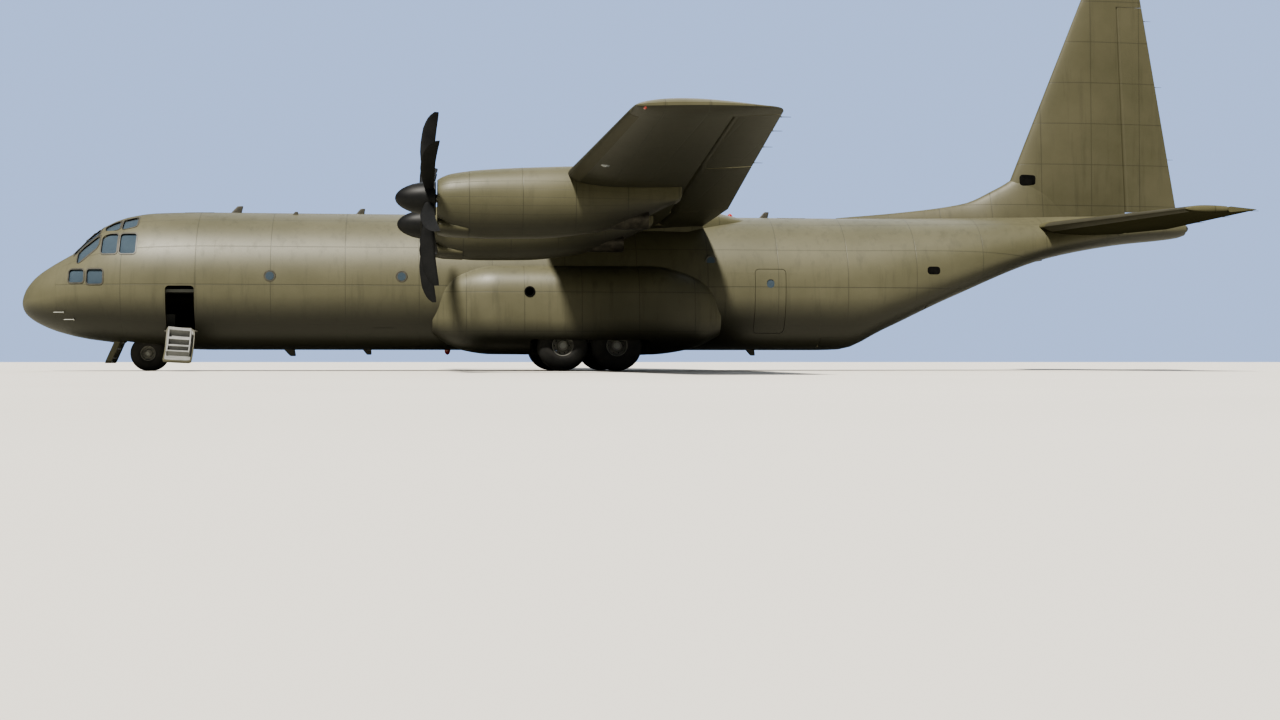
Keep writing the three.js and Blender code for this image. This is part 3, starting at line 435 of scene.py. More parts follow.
# The hull and radome take painted shade on their belly as well as on down-facing surfaces.
hull_paint = airframe_paint("hull_paint", "barrel", belly_shade=(0.68, 1.12), under_shade=0.9)
radome_paint = airframe_paint("radome_paint", "fin", pitch=SEAMLESS, streaks=0.15, belly_shade=(0.76, 1.04))
radome = skin_over("radome_shell", [hull_ring(x, 0) for x in hull_stations(0, RADOME_END - 0.002, 0.06)])
finish_piece(radome, radome_paint, "radome", slot="radome")

CREW_DOOR = (4.18, 4.96, 1.12, 2.34)
CREW_CORNER = 0.1
NOSE_BAY = (2.76, 4.24, 0.72)
WINDOW_CORNER = 0.07
# Each row: the opening's two ends along, across and upwards, and the way that it is cut through.
WINDOWS = [
    (1.56, 2.24, -0.27, 0.27, 3.0, 4.6, "z"),
    (1.56, 2.24, 0.35, 0.86, 3.0, 4.6, "z"),
    (1.70, 2.28, 0.94, 1.32, 2.95, 4.2, "z"),
    (2.38, 2.82, 1.1, 2.2, 3.24, 3.80, "y"),
    (2.90, 3.34, 1.1, 2.2, 3.24, 3.80, "y"),
    (2.40, 2.82, 0.6, 1.12, 3.9, 4.6, "z"),
    (2.90, 3.30, 0.66, 1.18, 3.9, 4.6, "z"),
    (1.50, 1.92, 1.0, 2.2, 2.44, 2.80, "y"),
    (2.02, 2.46, 1.0, 2.2, 2.40, 2.80, "y"),
]
both_sides = []
for window in WINDOWS:
    x0, x1, y0, y1, *rest = window
    both_sides.append(window)
    if y0 > 0:
        both_sides.append((x0, x1, -y1, -y0, *rest))


def window_blocks(name, grow):
    blocks = []
    for x0, x1, y0, y1, z0, z1, along in both_sides:
        upright, level = (0, grow) if along == "z" else (grow, 0)
        blocks.append(rounded_block(x0 - grow, x1 + grow, y0 - level, y1 + level, z0 - upright,
                                    z1 + upright, along, WINDOW_CORNER + grow))
    return joined(name, blocks)


def crew_doorway(grow):
    return doorway(CREW_DOOR, -1, grow, CREW_CORNER + grow)


forward = hull_tube("flight_deck_skin", RADOME_END, FORWARD_END - 0.001, 0, -SHEET)
carve(forward, window_blocks("window_cutter", 0))
carve(forward, crew_doorway(0))
carve(forward, rounded_block(*NOSE_BAY[:2], -NOSE_BAY[2], NOSE_BAY[2], 0.2, 1.3, "z", 0.1))
finish_piece(forward, hull_paint, "fuselage_forward")

# Window frames and crew doorway frame: pressed rims riveted round each opening.
# The window rims are dark against the skin, and the doorway's jamb is painted as the skin is.
RIM_WIDTH = 0.038
JAMB_WIDTH = 0.06


def cut_from_hull(name, start, stop, outside, inside, block):
    return carve(hull_tube(name, start, stop, outside, inside), block, "INTERSECT")


def plain_finish(name, colour, lighter, scale, rough=0.5, metallic=0.0, bump=0.2, shine=0.5):
    material, tree, shader, place = new_material(name)
    cloud = noise(tree, place, scale, 4.0, 0.6)
    fine = noise(tree, place, scale * 9, 2.0)
    connect(tree, shader, {
        "Base Color": blend_colour(tree, between(tree, cloud, 0.3, 0.7), colour, lighter),
        "Roughness": maths(tree, "ADD", rough - 0.08, times(tree, cloud, 0.16), clamp=True),
        "Metallic": metallic, "Specular IOR Level": shine})
    add_bump(tree, shader, maths(tree, "ADD", cloud, times(tree, fine, 0.4)), bump, 0.002)
    return material


seal = plain_finish("window_frame_paint", (0.045, 0.043, 0.035, 1), (0.075, 0.07, 0.055, 1), 25.0)
rims = cut_from_hull("window_rims", 1.3, 3.6, 0.012, -SHEET - 0.004, window_blocks("rim_cutter", RIM_WIDTH))
carve(rims, window_blocks("rim_hole_cutter", 0))
finish_piece(rims, seal)
door_rim = cut_from_hull("crew_door_jamb", 3.9, 5.3, 0.008, -0.13, crew_doorway(JAMB_WIDTH))
carve(door_rim, crew_doorway(0))
finish_piece(door_rim, hull_paint)

# Flight deck glazing: laminated glass panes, whose blue-grey colour is partly a faint tint and partly a
# painted sky reflection.
# They are bedded behind the rims, a little below the skin.
glass_tint_and_reflection, tree, shader, place = new_material("flight_deck_glass")
film = noise(tree, place, 5.0, 3.0)
connect(tree, shader, {
    "Base Color": blend_colour(tree, film, (0.065, 0.093, 0.122, 1), (0.095, 0.128, 0.16, 1)),
    "Roughness": between(tree, film, 0.2, 0.8, 0.04, 0.07), "Transmission Weight": 0.3, "IOR": 1.45})
PANE_OVERLAP = 0.03
panes = cut_from_hull("flight_deck_panes", 1.46, 3.6, -SHEET - 0.008, -SHEET - 0.03,
                      window_blocks("pane_cutter", PANE_OVERLAP))
finish_piece(panes, glass_tint_and_reflection, "cockpit_glass", slot="glass")

# Flight deck fittings and hold floor: painted sheet and alloy planks bolted down on cross beams.
# Boots and pallets have scuffed both, and the planks' joints show as dark lines.
deck_paint = plain_finish("flight_deck_paint", (0.08, 0.085, 0.08, 1), (0.13, 0.135, 0.125, 1), 12.0, 0.6)
floor_plank, tree, shader, place = new_material("hold_floor")
x, y, _ = shader_node(tree, "ShaderNodeSeparateXYZ", {"Vector": place}).outputs
panels = shader_node(tree, "ShaderNodeGroup", {
    "Along": x, "Across": y, "Long": 1.2, "Wide": 0.3, "Line": 0.008}, node_tree=seams).outputs
dragged = shader_node(tree, "ShaderNodeMapping", {"Vector": place, "Scale": (0.5, 6.0, 1.0)})
scuff = noise(tree, dragged.outputs[0], 6.0, 6.0, 0.7)
colour = blend_colour(tree, between(tree, scuff, 0.4, 0.7), (0.20, 0.21, 0.20, 1), (0.38, 0.38, 0.36, 1))
connect(tree, shader, {
    "Base Color": blend_colour(tree, panels["Seam"], colour, (0.04, 0.04, 0.04, 1)),
    "Roughness": between(tree, scuff, 0.3, 0.7, 0.65, 0.4), "Metallic": 0.35})
add_bump(tree, shader, maths(tree, "SUBTRACT", scuff, panels["Seam"]), 0.3, 0.003)
painted(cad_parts["flight_deck"], deck_paint)
painted(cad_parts["cargo_floor"], floor_plank)

# Hold barrel: the same riveted skin, with a plug door on each side behind the wing for paratroops.
# Each door has one small window, and closes flush against the edge of its opening.
PARATROOP = (20.56, 21.46, 1.07, 2.9)
PARATROOP_CORNER = 0.12
PLUG_GAP = 0.012
DOOR_WINDOW = (20.9, 21.12, 2.36, 2.6)
SIDES = ((-1, "left"), (1, "right"))
hold = hull_tube("hold_skin", FORWARD_END, HOLD_END - 0.001, 0, -SHEET)
for side, word in SIDES:
    carve(hold, doorway(PARATROOP, side, 0, PARATROOP_CORNER))
    leaf = cut_from_hull(f"paratroop_door_leaf_{word}", 20.3, 21.7, -0.004, -0.06,
                         doorway(PARATROOP, side, -PLUG_GAP, PARATROOP_CORNER - PLUG_GAP))
    carve(leaf, doorway(DOOR_WINDOW, side, 0, 0.1))
    finish_piece(leaf, hull_paint, f"paratroop_door_{word}")
    pane = cut_from_hull(f"paratroop_door_pane_{word}", 20.7, 21.3, -0.02, -0.04,
                         doorway(DOOR_WINDOW, side, 0.02, 0.11))
    finish_piece(pane, glass_tint_and_reflection, slot="glass")
finish_piece(hold, hull_paint, "fuselage_centre")

# Tail barrel: swept up over the ramp and cargo door, whose wide opening is cut from its underside.
# A small lamp housing closes the tip of the cone.
# Each row: stations of the front and rear edges, and the half width at each.
RAMP = (22.6, 25.73, 1.5)
CARGO = (25.78, 29.5, 1.38, 0.92)
GAP = 0.01


def plan_block(x0, x1, half0, half1, z0, z1):
    corners = [(x0, -half0), (x1, -half1), (x1, half1), (x0, half0)]
    return skin_over("plan_block", [[(x, y, z) for x, y in corners] for z in (z0, z1)], smooth=1)


def round_ring(x, y, z, wide, high, count=32):
    return [(x, y + wide * math.cos(a), z + high * math.sin(a)) for a in turns(count)]


aft = hull_tube("tail_skin", HOLD_END, 34.2, 0, -SHEET)
carve(aft, plan_block(RAMP[0], CARGO[0], RAMP[2] + GAP, RAMP[2] + GAP, 0.1, 2.4))
carve(aft, plan_block(CARGO[0] - 0.05, CARGO[1] + GAP, CARGO[2] + GAP, CARGO[3] + GAP, 0.1, 3.62))
finish_piece(aft, hull_paint, "fuselage_aft")
tail_cone = skin_over("tail_cone_lamp", [round_ring(x, 0, 4.305, r, r, 24) for x, r in (
    (34.1, 0.13), (34.24, 0.125), (34.31, 0.095), (34.345, 0.05), (34.355, 0.012))])
finish_piece(tail_cone, seal)

# Ramp and cargo door: stiffened skin panels that close the opening; the ramp carries a tread-plate deck.
# The ramp is hinged at its front edge and the cargo door at its rear edge, each on alloy lugs.
tread, tree, shader, place = new_material("ramp_tread_plate")
checks = shader_node(tree, "ShaderNodeTexVoronoi", {"Vector": place, "Scale": 60.0})
scuff = noise(tree, place, 5.0, 6.0, 0.7)
connect(tree, shader, {
    "Base Color": blend_colour(tree, between(tree, scuff, 0.35, 0.7), (0.16, 0.16, 0.15, 1),
                               (0.34, 0.34, 0.32, 1)),
    "Roughness": between(tree, scuff, 0.3, 0.7, 0.6, 0.38), "Metallic": 0.4})
add_bump(tree, shader, checks.outputs["Distance"], 0.4, 0.004)

ramp_skin = cut_from_hull("ramp_skin", 22.4, 25.9, 0, -0.1, plan_block(
    RAMP[0] + GAP, RAMP[1] - GAP, RAMP[2], RAMP[2], 0.1, 1.98))
finish_piece(ramp_skin, hull_paint, "cargo_ramp", body="cargo_ramp_body")
deck_front, deck_rear = RAMP[0] + 0.03, RAMP[1] - 0.03
deck = skin_over("ramp_deck", [
    [(deck_front, y, 0.66), (deck_rear, y, 1.62), (deck_rear, y, 1.79), (deck_front, y, 1.02)]
    for y in (-1.46, 1.46)], smooth=1)
carve(deck, skin_over("ramp_hull_inside", [hull_ring(x, -0.05) for x in hull_stations(22.4, 26)]),
      "INTERSECT", smooth=10)
finish_piece(deck, tread, body="cargo_ramp_body", slot="interior")
cargo_skin = cut_from_hull("cargo_door_skin", 25.6, 29.7, 0, -0.08, plan_block(*CARGO, 0.1, 3.6))
carve(cargo_skin, rounded_block(CARGO[1] - 0.04, CARGO[1] + 0.1, -1, 1, 3.35, 3.7, "y", 0.01))
finish_piece(cargo_skin, hull_paint, "cargo_door", body="cargo_door_body")
fitting_paint = airframe_paint("fitting_paint", "wing", pitch=(0.9, 0.9), streaks=0.25)
lugs = [rounded_block(RAMP[0] - 0.03, RAMP[0] + GAP, y - 0.1, y + 0.1, 0.67, 0.76, "x", 0.02)
        for y in (-1.0, 1.0)]
lugs.append(rounded_block(CARGO[1] + 0.001, CARGO[1] + 0.04, -0.6, 0.6, 3.27, 3.33, "y", 0.01))
finish_piece(joined("tail_door_hinge_lugs", lugs), fitting_paint)

# Crew door: the skin panel between its frame, with four treads inside, hinged at the sill as steps.
# It hangs let down, so its paint takes neither the painted belly shade nor the painted shade of down-facing
# surfaces.
door_paint = airframe_paint("crew_door_paint", "fin", pitch=SEAMLESS, paint=(0.060, 0.057, 0.033, 1),
                            faded=(0.086, 0.081, 0.050, 1), streaks=0.2, under_shade=0.0)
inner_paint = plain_finish("cabin_lining", (0.15, 0.153, 0.148, 1), (0.23, 0.23, 0.22, 1), 8.0, 0.6)
HINGE = (-1.72, 1.10)
LET_DOWN = 115
HINGE_SLACK = 0.0006
TREADS = (1.28, 1.52, 1.76, 2.0)
FRONT, REAR, SILL, _ = CREW_DOOR
door = cut_from_hull("crew_door_leaf", 4.0, 5.2, 0, -0.05, crew_doorway(-GAP))
lining = cut_from_hull("crew_door_lining", 4.0, 5.2, -0.045, -0.065, doorway(CREW_DOOR, -1, -0.05, 0.08))
treads = [rounded_block(FRONT + 0.11, REAR - 0.11, -2.6, -1, z, z + 0.06, "x", 0.02) for z in TREADS]
treads += [rounded_block(x, x + 0.035, -2.6, -1, TREADS[0], TREADS[-1] + 0.08, "x", 0.01)
           for x in (FRONT + 0.08, REAR - 0.115)]
for tread_bar in treads:
    carve(tread_bar, hull_tube("reach_of_treads", 3.9, 5.3, -0.06, -0.2), "INTERSECT", smooth=20)
step_set = joined("crew_door_lining_and_treads", [lining] + treads)
hinge_bar = skin_over("crew_door_hinge_bar", [round_ring(x, *HINGE, r, r, 16) for x, r in (
    (FRONT + GAP, 0.018), (FRONT + GAP + 0.006, 0.025), (REAR - GAP - 0.006, 0.025), (REAR - GAP, 0.018))])
arm = rounded_block(FRONT + 0.1, REAR - 0.1, HINGE[0] - 0.02, HINGE[0] + 0.12, HINGE[1], SILL + 0.05,
                    "x", 0.005)
under_sill = skin_over("under_sill", [hull_ring(x, 3 * GAP) for x in hull_stations(4, FORWARD_END)])
carve(under_sill, rounded_block(3.8, 5.7, -3, 3, SILL + GAP, 6, "z", 0.01))
carve(arm, under_sill, smooth=20)
hinge_set = joined("crew_door_hinge_arm", [hinge_bar, arm])
hinge_point = half_size((FRONT + REAR) / 2, *HINGE)
opened = (Matrix.Translation(hinge_point) @ Matrix.Rotation(math.radians(LET_DOWN), 4, "X")
          @ Matrix.Translation(-hinge_point))
for piece, material in ((door, door_paint), (step_set, inner_paint), (hinge_set, seal)):
    piece.data.transform(opened)
    finish_piece(piece, material, body="crew_door_body")
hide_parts("crew_door")
knuckles = [rounded_block(a, b, HINGE[0] - 0.025, -1.58, HINGE[1] - 0.025, HINGE[1] + 0.025, "x", 0.01)
            for a, b in ((FRONT - 0.06, FRONT + GAP - HINGE_SLACK), (REAR - GAP + HINGE_SLACK, REAR + 0.06))]
finish_piece(joined("crew_door_hinge_knuckles", knuckles), seal)

# Wing: a two-spar box skinned in long planks, with a full-width centre piece through the roof.
# Camber and thickness follow one aerofoil; everything behind the rear spar is flap, aileron or cove.
HALF_SPAN = 20.2
WING_BREAK = 5.59
CAMBER = 0.018
FLAP_HINGE = 0.74
AILERON_HINGE = 0.73
TAIL_EDGE = 0.003
BRACKET_WIDTH = 0.14
BRACKET_HALF_HEIGHT = 0.02
CHORD, CHORD_LOST = 4.88, 2.1
QUARTER_CHORD, QUARTER_SHIFT = 15.52, 0.12
ROOT_HEIGHT, DIHEDRAL = 4.29, 0.032
SETTING_ANGLE = 2.5
THICKNESS, THICKNESS_LOST = 0.18, 0.06


def half_thickness(x, t):
    return 5 * t * (0.2969 * math.sqrt(x) - 0.126 * x - 0.3516 * x ** 2 + 0.2843 * x ** 3 - 0.1036 * x ** 4)


def camber_rise(x, camber):
    return 4 * camber * x * (1 - x)


def fixed_outline(thickness, camber, end, grow=0.0):
    shares = [end * (1 - math.cos(math.pi * k / 44)) for k in range(22, -1, -1)]
    rise = [camber_rise(x, camber) for x in shares]
    half = [max(half_thickness(x, thickness), TAIL_EDGE if x > 0.5 else 0) + grow for x in shares]
    upper = [(x, r + h) for x, r, h in zip(shares, rise, half)]
    lower = [(x, r - h) for x, r, h in zip(shares, rise, half)]
    upper[-1] = (-grow, 0.0)
    return upper + lower[-2::-1]


def moving_outline(thickness, camber, hinge):
    radius = half_thickness(hinge, thickness)
    rise = camber_rise(hinge, camber)
    nose = [(hinge + radius * math.cos(a), rise + radius * math.sin(a))
            for a in (math.radians(90 + 15 * k) for k in range(13))]
    return [(1, TAIL_EDGE)] + nose + [(1, -TAIL_EDGE)]


def strip_outline(at, camber=0.0):
    outside, inside = ([p for p in fixed_outline(at["thick"], camber, 1.0, grow / at["chord"]) if p[0] < end]
                       for grow, end in ((0.004, 0.075), (-0.008, 0.078)))
    return outside + inside[::-1]


def wing_at(y):
    share = max(0.0, (abs(y) - WING_BREAK) / (HALF_SPAN - WING_BREAK))
    return {"chord": CHORD - CHORD_LOST * share, "quarter": QUARTER_CHORD + QUARTER_SHIFT * share,
            "height": ROOT_HEIGHT + DIHEDRAL * abs(y), "turn": math.radians(SETTING_ANGLE * (1 - share)),
            "thick": THICKNESS - THICKNESS_LOST * share}


def wing_ring(y, outline):
    at = wing_at(y)
    ring = []
    for along, up in outline:
        dx, dz = (along - 0.25) * at["chord"], up * at["chord"]
        ring.append((at["quarter"] + dx * math.cos(at["turn"]) + dz * math.sin(at["turn"]), y,
                     at["height"] + dz * math.cos(at["turn"]) - dx * math.sin(at["turn"])))
    return ring


def fixed_end(at, hinge):
    return hinge - half_thickness(hinge, at["thick"]) - GAP / at["chord"]


def wing_skin(name, places, end):
    return skin_over(name, [wing_ring(y, fixed_outline(wing_at(y)["thick"], CAMBER, end)) for y in places])


def hinge_plate(ring_of, at, pair, hinge=None, end=None, camber=0.0):
    rings = []
    for place in pair:
        station = at(place)
        axis = hinge or station["hinge"]
        rise = camber_rise(axis, camber)
        rear = axis - half_thickness(axis, station["thick"]) - HINGE_SLACK / station["chord"]
        front = (end or fixed_end(station, axis)) - 0.03
        half = BRACKET_HALF_HEIGHT / station["chord"]
        rings.append(ring_of(place, [(rear, rise + half), (front, rise + half), (front, rise - half),
                                     (rear, rise - half)]))
    return skin_over("bracket", rings, smooth=1)


def skin_height(x, y):
    width, top, middle, *_ = row_at(HULL, x)
    return middle + (top - middle) * math.sqrt(max(0.0, 1 - (y / width) ** 2))


wing_paint = airframe_paint("wing_paint", "wing", pitch=(0.42, 0.9), streaks=0.2, under_shade=0.9, shine=0.35)
boot = plain_finish("leading_edge_strip", (0.046, 0.044, 0.031, 1), (0.056, 0.053, 0.038, 1), 6.0, 0.6,
                    shine=0.1)
CENTRE_END = fixed_end(wing_at(0), FLAP_HINGE)
OUTER_PLACES = [5.5906, 12.95, 19.52]
OUTER_END = min(fixed_end(wing_at(y), AILERON_HINGE) for y in OUTER_PLACES)
centre = wing_skin("wing_centre_skin", [-WING_BREAK, -2.38, 0, 2.38, WING_BREAK], CENTRE_END)
finish_piece(centre, wing_paint, "wing_centre")
root = wing_skin("wing_root_trailing_edge", [-2.37, 0, 2.37], 1.0)
finish_piece(root, wing_paint)


def evenly(rows, count):
    first, last = rows[0][0], rows[-1][0]
    return [first + (last - first) * k / count for k in range(count + 1)]


# Each row: station, half width and top of the fairing that the wing's centre sits under.
FAIRING = [(13.2, 0.9, 4.45), (14.0, 1.3, 4.72), (15.2, 1.62, 4.86), (17.6, 1.62, 4.84), (19.4, 1.2, 4.68),
           (20.6, 0.8, 4.45)]
FAIRING_FOOT = 4.2
rings = []
for x in evenly(FAIRING, 37):
    half, top = row_at(FAIRING, x)
    crown = [(x, half * math.cos(a), FAIRING_FOOT + (top - FAIRING_FOOT) * math.sin(a) ** 0.6)
             for a in (math.pi * n / 24 for n in range(25))]
    cheek = max(skin_height(x, half) - 0.03, 3.98)
    rings.append([(x, half, cheek)] + crown + [(x, -half, cheek)])
finish_piece(skin_over("wing_roof_fairing", rings), wing_paint)

# Each row of the tip: place along the span, share of the thickness left, and where the chord stops.
TIP = ((19.52, 1, 1), (19.7, 0.98, 1), (19.84, 0.92, 1), (19.95, 0.83, 0.995), (20.04, 0.7, 0.985),
       (20.11, 0.55, 0.97), (20.16, 0.4, 0.95), (20.198, 0.18, 0.92))
MOVERS = (("flap_inner", (2.4, WING_BREAK - GAP), FLAP_HINGE, (2.4, WING_BREAK - GAP - BRACKET_WIDTH)),
          ("flap_outer", (WING_BREAK + GAP, 12.9), FLAP_HINGE, (WING_BREAK + GAP, 12.76, 8.2)),
          ("aileron", (13.0, 19.5), AILERON_HINGE, (13.0, 19.36, 16.2)))
brackets = []
for side, word in SIDES:
    outer = wing_skin(f"wing_skin_{word}", [side * y for y in OUTER_PLACES], OUTER_END)
    finish_piece(outer, wing_paint, f"wing_{word}")
    rings = [wing_ring(side * y, fixed_outline(wing_at(y)["thick"] * fat, CAMBER, end))
             for y, fat, end in TIP]
    finish_piece(skin_over(f"wing_tip_{word}", rings), wing_paint)
    strip = [wing_ring(side * y, strip_outline(wing_at(y), CAMBER)) for y in (2.5, WING_BREAK, 12.95, 19.5)]
    finish_piece(skin_over(f"leading_edge_strip_{word}", strip), boot)
    for part, spans, hinge, carriers in MOVERS:
        made = skin_over(f"{part}_skin_{word}", [
            wing_ring(side * y, moving_outline(wing_at(y)["thick"], CAMBER, hinge)) for y in spans])
        body = f"aileron_{word}_body" if part == "aileron" else "airframe"
        finish_piece(made, wing_paint, f"{part}_{word}", body=body)
        end = CENTRE_END if part == "flap_inner" else OUTER_END
        for y in carriers:
            pair = (side * y, side * (y + BRACKET_WIDTH))
            brackets.append(hinge_plate(wing_ring, wing_at, pair, hinge, end, CAMBER))
finish_piece(joined("flap_and_aileron_brackets", brackets), seal)

# Engine nacelles: smooth cowls slung ahead of the wing, each with a chin intake and a jet pipe behind.
# Cowl panels are latched aluminium; the jet pipes and the skin behind them are heat-stained.
# One set is modelled round its thrust line, and copied to the four places on the wing.
THRUST = ((-10.2, 4.08), (-4.95, 3.86), (4.95, 3.86), (10.2, 4.08))
NACELLE_FRONT = 11.48
COWL_WALL = 0.03
SCOOP_WALL = 0.035
PIPE_DROP = 0.42
# Each row: station, half width, top and bottom, from the thrust line.
NACELLE = [
    (NACELLE_FRONT, 0.45, 0.45, -0.56),
    (11.8, 0.54, 0.58, -0.84),
    (12.6, 0.60, 0.69, -0.93),
    (13.8, 0.62, 0.76, -0.92),
    (15.0, 0.56, 0.80, -0.80),
    (16.0, 0.44, 0.74, -0.56),
    (17.0, 0.22, 0.60, -0.10),
]
# Each row: station, half width, half height and the middle's place below the thrust line.
SCOOP = ((11.5, 0.30, 0.135, -0.655), (11.475, 0.325, 0.16, -0.655), (11.475, 0.345, 0.18, -0.655),
         (11.5, 0.365, 0.2, -0.66), (11.7, 0.385, 0.22, -0.68), (12.2, 0.36, 0.2, -0.72))
pipe_metal = plain_finish("jet_pipe_metal", (0.034, 0.031, 0.026, 1), (0.078, 0.071, 0.059, 1), 14.0, 0.45,
                          0.8)
# The duct finish's near-black is partly its own dark colour and partly painted shade for the depth of
# intakes, outlets and openings.
duct_dark = plain_finish("duct_lining_and_painted_shade", (0.005, 0.005, 0.0048, 1), (0.012, 0.0115, 0.011, 1), 10.0, 0.75,
                         shine=0.0)
engine_metal = plain_finish("engine_casing", (0.22, 0.21, 0.19, 1), (0.36, 0.35, 0.33, 1), 9.0, 0.42, 0.8)


def cowl_ring(x, grow, shrink=1.0):
    half, top, bottom = row_at(NACELLE, x)
    ring = []
    for a in turns(48):
        up = top + grow if math.sin(a) >= 0 else -(bottom - grow)
        ring.append((x, shrink * (half + grow) * math.cos(a), shrink * up * math.sin(a)))
    return ring


def copied(piece, name, shift):
    twin = piece.copy()
    twin.data = piece.data.copy()
    twin.name = twin.data.name = name
    bpy.context.scene.collection.objects.link(twin)
    twin.data.transform(Matrix.Translation(Vector(shift) * SCALE))
    return twin


def put_away(*spares):
    for spare in spares:
        bpy.data.objects.remove(spare)


rounding = {NACELLE_FRONT: 0.94, 11.5: 0.972, 11.54: 0.992}
stations = [*rounding, 11.6, 11.7] + [11.8 + 5.2 * k / 26 for k in range(27)]
outer = [cowl_ring(x, 0, rounding.get(x, 1.0)) for x in stations]
inner = [cowl_ring(x, -COWL_WALL) for x in reversed(stations) if x > 11.53]
closes_at = 0.25
tail = [[(x + reach, share * b, closes_at + share * (c - closes_at)) for x, b, c in outer[-1]]
        for reach, share in ((0.08, 0.96), (0.16, 0.85), (0.22, 0.68), (0.26, 0.42), (0.27, 0.02))]
cowl = hollow_skin("cowl", outer + tail + inner)
carve(cowl, rounded_block(11.3, 12.0, -0.33, 0.33, -0.84, -0.48, "x", 0.12))
front_ring = hollow_skin("front_ring", [
    cowl_ring(11.49, -0.01, 0.94), round_ring(11.49, 0, 0, 0.15, 0.15, 48),
    round_ring(11.52, 0, 0, 0.15, 0.15, 48), cowl_ring(11.52, -0.01, 0.94)])
scoop = hollow_skin("scoop", [
    round_ring(x, 0, z, wide - wall, high - wall)
    for rows, wall in ((SCOOP, 0), (SCOOP[:2:-1], SCOOP_WALL)) for x, wide, high, z in rows])
# The intake duct ends in a cap painted near-black, as painted shade of the duct's depth.
duct_end = skin_over("duct_end", [
    round_ring(x, 0, -0.715, wide, high) for x, wide, high in ((12.19, 0.3, 0.15), (12.17, 0.02, 0.02))])
jet_pipe = hollow_skin("jet_pipe", [round_ring(x, 0, -PIPE_DROP, r, r * 1.02) for x, r in (
    (15.0, 0.27), (16.2, 0.27), (16.42, 0.262), (16.45, 0.255), (16.42, 0.245), (16.2, 0.24), (15.0, 0.24))])
pipe_cone = skin_over("pipe_cone", [round_ring(x, 0, -PIPE_DROP, r, r) for x, r in (
    (15.1, 0.2), (15.5, 0.17), (15.85, 0.08), (15.93, 0.01))])
for number, (y, thrust) in enumerate(THRUST, 1):
    cowl_paint = airframe_paint(f"cowl_paint_{number}", "barrel", pitch=(0.62, 0.336), streaks=0.3,
                                centre=(y * SCALE, thrust * SCALE), under_shade=0.9, shine=0.4,
                                soot=((-1.2, -0.4), ((thrust - 0.35) * SCALE, (thrust + 0.1) * SCALE)))
    for spare, name, material, slot, nodes in (
            (cowl, "nacelle_cowl", cowl_paint, "airframe", [f"nacelle_{number}"]),
            (front_ring, "nacelle_front_ring", duct_dark, "airframe", []),
            (scoop, "chin_intake", cowl_paint, "airframe", []),
            (duct_end, "intake_duct_end", duct_dark, "airframe", []),
            (jet_pipe, "jet_pipe", pipe_metal, "engine", []),
            (pipe_cone, "jet_pipe_cone", duct_dark, "engine", [])):
        piece = copied(spare, f"{name}_{number}", (0, y, thrust))
        finish_piece(piece, material, *nodes, slot=slot)
    painted(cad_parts[f"engine_{number}"], engine_metal)
put_away(cowl, front_ring, scoop, duct_end, jet_pipe, pipe_cone)

# Propellers: six swept composite blades in a steel hub under a spun spinner, near-black all over.
# Each blade root fits a round hole in the hub, and the blades turn with the spinner as one.
PROP_PLANE = 11.3
BLADES = 6
FIRST_BLADE = 4
# Each row: radius, chord, thickness, sweep and pitch in degrees.
BLADE = [
    (0.30, 0.20, 0.13, 0.00, 96),
    (0.60, 0.26, 0.09, -0.03, 92),
    (1.10, 0.34, 0.055, -0.05, 87),
    (1.60, 0.33, 0.035, 0.00, 82),
    (1.92, 0.24, 0.02, 0.09, 79),
    (2.055, 0.10, 0.01, 0.17, 78),
]
BLADE_REACH = (0.3, 0.38, 0.48, 0.6, 0.75, 0.9, 1.1, 1.3, 1.5, 1.66, 1.8, 1.9, 1.97, 2.02, 2.05)
# Each pair: the spinner's radius and its place ahead of the propeller plane (negative) or behind it.
SPINNER = ((0.0005, -0.8), (0.04, -0.795), (0.1, -0.77), (0.16, -0.72), (0.22, -0.645), (0.28, -0.53),
           (0.33, -0.4), (0.37, -0.22), (0.39, -0.05), (0.4, 0.06), (0.4, 0.13), (0.385, 0.148),
           (0.0005, 0.148))
blade_finish = plain_finish("blade_composite", (0.005, 0.0055, 0.006, 1), (0.011, 0.011, 0.011, 1), 7.0, 0.62,
                            shine=0.2)
spinner_finish = plain_finish("spinner_paint", (0.006, 0.0065, 0.007, 1), (0.012, 0.012, 0.012, 1), 5.0, 0.5,
                              shine=0.25)
blade_outline = [(0.5 * math.cos(a), 0.47 * math.sin(a) * (1.0 - 0.35 * math.cos(a))) for a in turns(20)]


def blade_ring(degrees, radius):
    chord, thickness, sweep, pitch = row_at(BLADE, radius)
    turn, angle = math.radians(degrees), math.radians(pitch)
    ring = []
    for along, across in blade_outline:
        aft = sweep + along * chord * math.sin(angle) - across * thickness * math.cos(angle)
        edge = along * chord * math.cos(angle) + across * thickness * math.sin(angle)
        ring.append((PROP_PLANE + aft, edge * math.cos(turn) + radius * math.sin(turn),
                     radius * math.cos(turn) - edge * math.sin(turn)))
    return ring


spinner = skin_over("spinner", [round_ring(PROP_PLANE + x, 0, 0, r, r, 48) for r, x in SPINNER])
blades = joined("blades", [
    skin_over("blade", [blade_ring(FIRST_BLADE + 360 / BLADES * n, radius) for radius in BLADE_REACH])
    for n in range(BLADES)])
for number, (y, thrust) in enumerate(THRUST, 1):
    body = f"propeller_{number}_body"
    shift = (0, y, thrust)
    finish_piece(copied(spinner, f"spinner_{number}", shift), spinner_finish, body=body, slot="blade")
    blade_set = copied(blades, f"propeller_blades_{number}", shift)
    finish_piece(blade_set, blade_finish, f"propeller_{number}", body=body, slot="blade")
put_away(spinner, blades)

